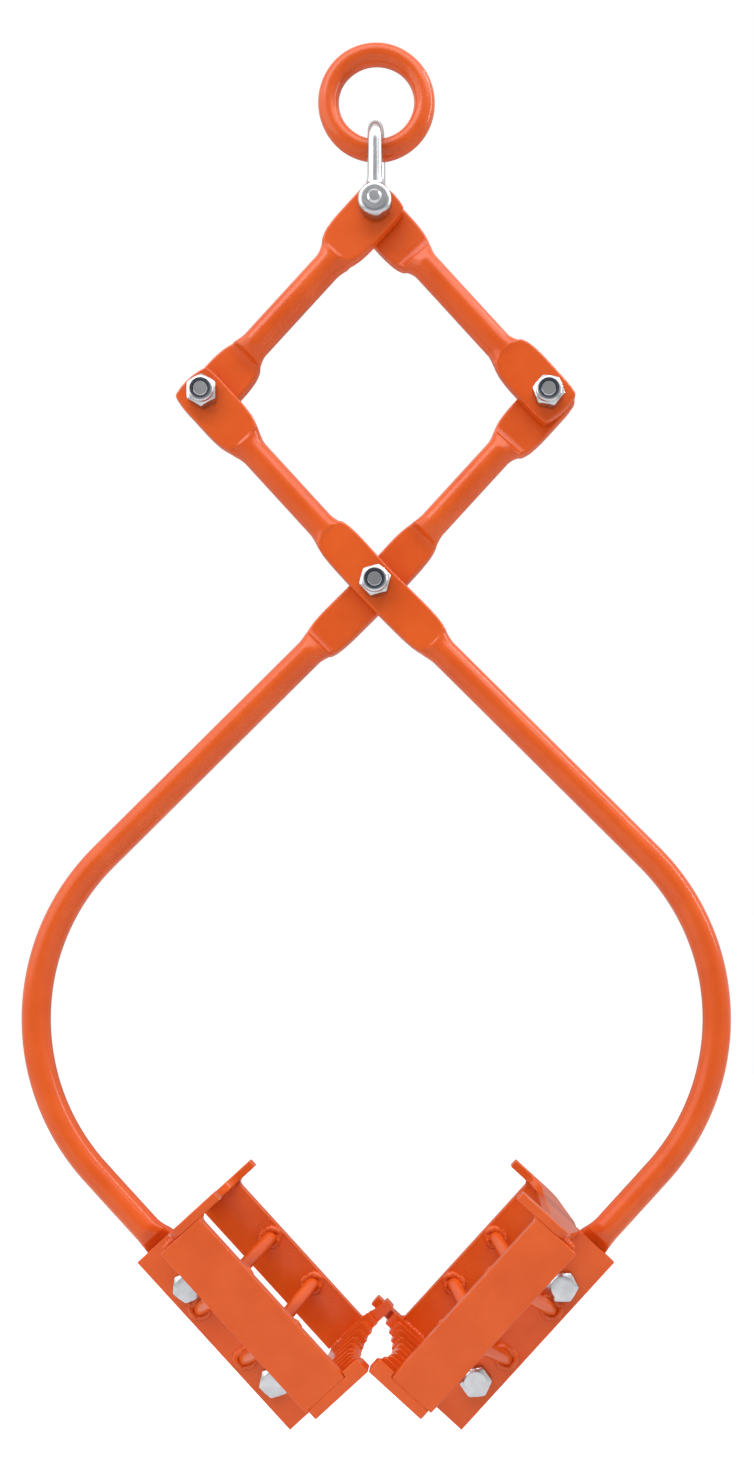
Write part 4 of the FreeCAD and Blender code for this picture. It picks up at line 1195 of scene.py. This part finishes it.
# Name, place, what it points at, width and height, power.
LIGHTS = (
    ("front_light", (0.1, -1.6, 2.5), (0.0, 0.0, -0.4), 5.0, 2.0, 92.0),
    ("right_light", (1.6, -0.10, 0.85), (0.0, 0.0, -0.4), 0.14, 2.0, 18.0),
    ("left_light", (-1.6, -0.9, 0.6), (0.0, 0.0, -0.45), 2.0, 2.0, 18.0),
)


class TONGS_OT_stage(bpy.types.Operator):
    """Make the pale floor, the white surroundings, the soft lights and the camera"""
    bl_idname = "tongs.stage"
    bl_label = "Stage"

    def execute(self, context):
        stage, looks = context.scene.tongs_stage, context.scene.tongs_looks
        self.add_floor(stage, looks)
        self.add_world(stage)
        for light in LIGHTS:
            self.add_light(*light)
        camera = bpy.data.cameras.new("camera")
        camera.sensor_width, camera.lens = 36.0, stage.lens
        camera.shift_x, camera.shift_y = stage.shift
        holder = bpy.data.objects.new("camera", camera)
        holder.location = stage.camera
        holder.rotation_euler = (math.pi / 2, 0.0, 0.0)
        context.scene.collection.objects.link(holder)
        context.scene.camera = holder
        context.scene.view_settings.view_transform = "Standard"
        return {"FINISHED"}

    def seen_directly(self, nodes):
        """Two masks: rays straight to the camera or through glass, and rays by a reflection."""
        rays = nodes.add("LightPath")
        straight = nodes.math("MAXIMUM", rays.outputs["Is Camera Ray"], rays.outputs["Is Transmission Ray"])
        return straight, rays.outputs["Is Glossy Ray"]

    def add_floor(self, stage, looks):
        """Wide square under the tongs that keeps their shadow and shows a paler glow far from them."""
        height, half = CAD_BOX[0][2] - stage.drop, FLOOR_HALF
        points = [(-half, -half, height), (half, -half, height), (half, half, height), (-half, half, height)]
        mesh = bpy.data.meshes.new("floor")
        mesh.from_pydata(points, [], [(0, 1, 2, 3)])
        made = bpy.data.objects.new("floor", mesh)
        bpy.context.scene.collection.objects.link(made)
        nodes, shader = new_material("Pale floor")
        shader.inputs["Base Color"].default_value = rgba(looks.floor)
        shader.inputs["Roughness"].default_value = 0.9
        shader.inputs["Specular IOR Level"].default_value = 0.0
        shader.inputs["Emission Color"].default_value = (1.0, 1.0, 1.0, 1.0)
        straight, glossy = self.seen_directly(nodes)
        seen = nodes.math("MAXIMUM", straight, nodes.math("MULTIPLY", glossy, MIRRORED_FLOOR))
        place = nodes.add("TexCoord").outputs["Object"]
        away = nodes.add("VectorMath", {0: place}, operation="LENGTH").outputs["Value"]
        lift = nodes.scaled(nodes.ramp(away, 1.0, 3.0), FAR_GLOW, FLOOR_GLOW)
        nodes.join(nodes.math("MULTIPLY", seen, lift), shader, "Emission Strength")
        material = finish("Pale floor")
        material.cycles.emission_sampling = "NONE"
        mesh.materials.append(material)

    def add_world(self, stage):
        """White seen straight on, the ambient light on the tongs, and a dimmer room in front and behind for
        what mirrors it."""
        world = bpy.data.worlds.new("Studio")
        world.use_nodes = True
        world.node_tree.nodes.clear()
        nodes = Nodes(world.node_tree)
        straight, glossy = self.seen_directly(nodes)
        way = nodes.add("SeparateXYZ", {"Vector": nodes.add("TexCoord").outputs["Generated"]}).outputs["Y"]
        room = nodes.add("MapRange", {"Value": nodes.math("ABSOLUTE", way), "From Min": 0.55,
                                      "From Max": 0.95, "To Min": 1.0, "To Max": stage.room})
        strength = nodes.scaled(straight, 1.0 - stage.ambient, stage.ambient)
        mirrored = nodes.math("SUBTRACT", room.outputs["Result"], stage.ambient)
        mirrored = nodes.math("MULTIPLY", glossy, mirrored)
        strength = nodes.math("ADD", strength, mirrored)
        light = nodes.add("Background", {"Color": (1.0, 1.0, 1.0, 1.0), "Strength": strength})
        nodes.add("OutputWorld", {"Surface": light.outputs["Background"]})
        bpy.context.scene.world = world

    def add_light(self, name, place, target, width, height, power):
        """Oblong soft light that points at its target."""
        light = bpy.data.lights.new(name, "AREA")
        light.shape, light.size, light.size_y, light.energy = "RECTANGLE", width, height, power
        holder = bpy.data.objects.new(name, light)
        holder.location = place
        way = Vector(target) - Vector(place)
        holder.rotation_euler = way.to_track_quat("-Z", "Y").to_euler()
        bpy.context.scene.collection.objects.link(holder)


class TONGS_PT_panel(bpy.types.Panel):
    """Lists the operators in the order that they run"""
    bl_idname = "TONGS_PT_panel"
    bl_label = "Lifting tongs"
    bl_space_type = "VIEW_3D"
    bl_region_type = "UI"
    bl_category = "Tongs"

    def draw(self, context):
        for operator in OPERATORS:
            self.layout.operator(operator.bl_idname)


OPERATORS = (TONGS_OT_finishes, TONGS_OT_ring, TONGS_OT_shackle, TONGS_OT_links, TONGS_OT_arms,
             TONGS_OT_fasteners, TONGS_OT_jaw_plates, TONGS_OT_jaw_lips, TONGS_OT_jaw_braces, TONGS_OT_welds,
             TONGS_OT_stage)
GROUPS = {"tongs_bars": TongsBarSizes, "tongs_looks": TongsLooks, "tongs_fasteners": TongsFastenerSizes,
          "tongs_jaws": TongsJawSizes, "tongs_stage": TongsStageSizes}


def register():
    """Register the property groups on the scene, then the operators and the panel."""
    for name, group in GROUPS.items():
        bpy.utils.register_class(group)
        setattr(bpy.types.Scene, name, bpy.props.PointerProperty(type=group))
    for made in (*OPERATORS, TONGS_PT_panel):
        bpy.utils.register_class(made)


def unregister():
    """Take all of them away again."""
    for made in (TONGS_PT_panel, *reversed(OPERATORS)):
        bpy.utils.unregister_class(made)
    for name, group in GROUPS.items():
        delattr(bpy.types.Scene, name)
        bpy.utils.unregister_class(group)


def main():
    """Make every piece and the stage."""
    register()
    for operator in OPERATORS:
        group, name = operator.bl_idname.split(".")
        getattr(getattr(bpy.ops, group), name)()


if __name__ == "__main__":
    main()
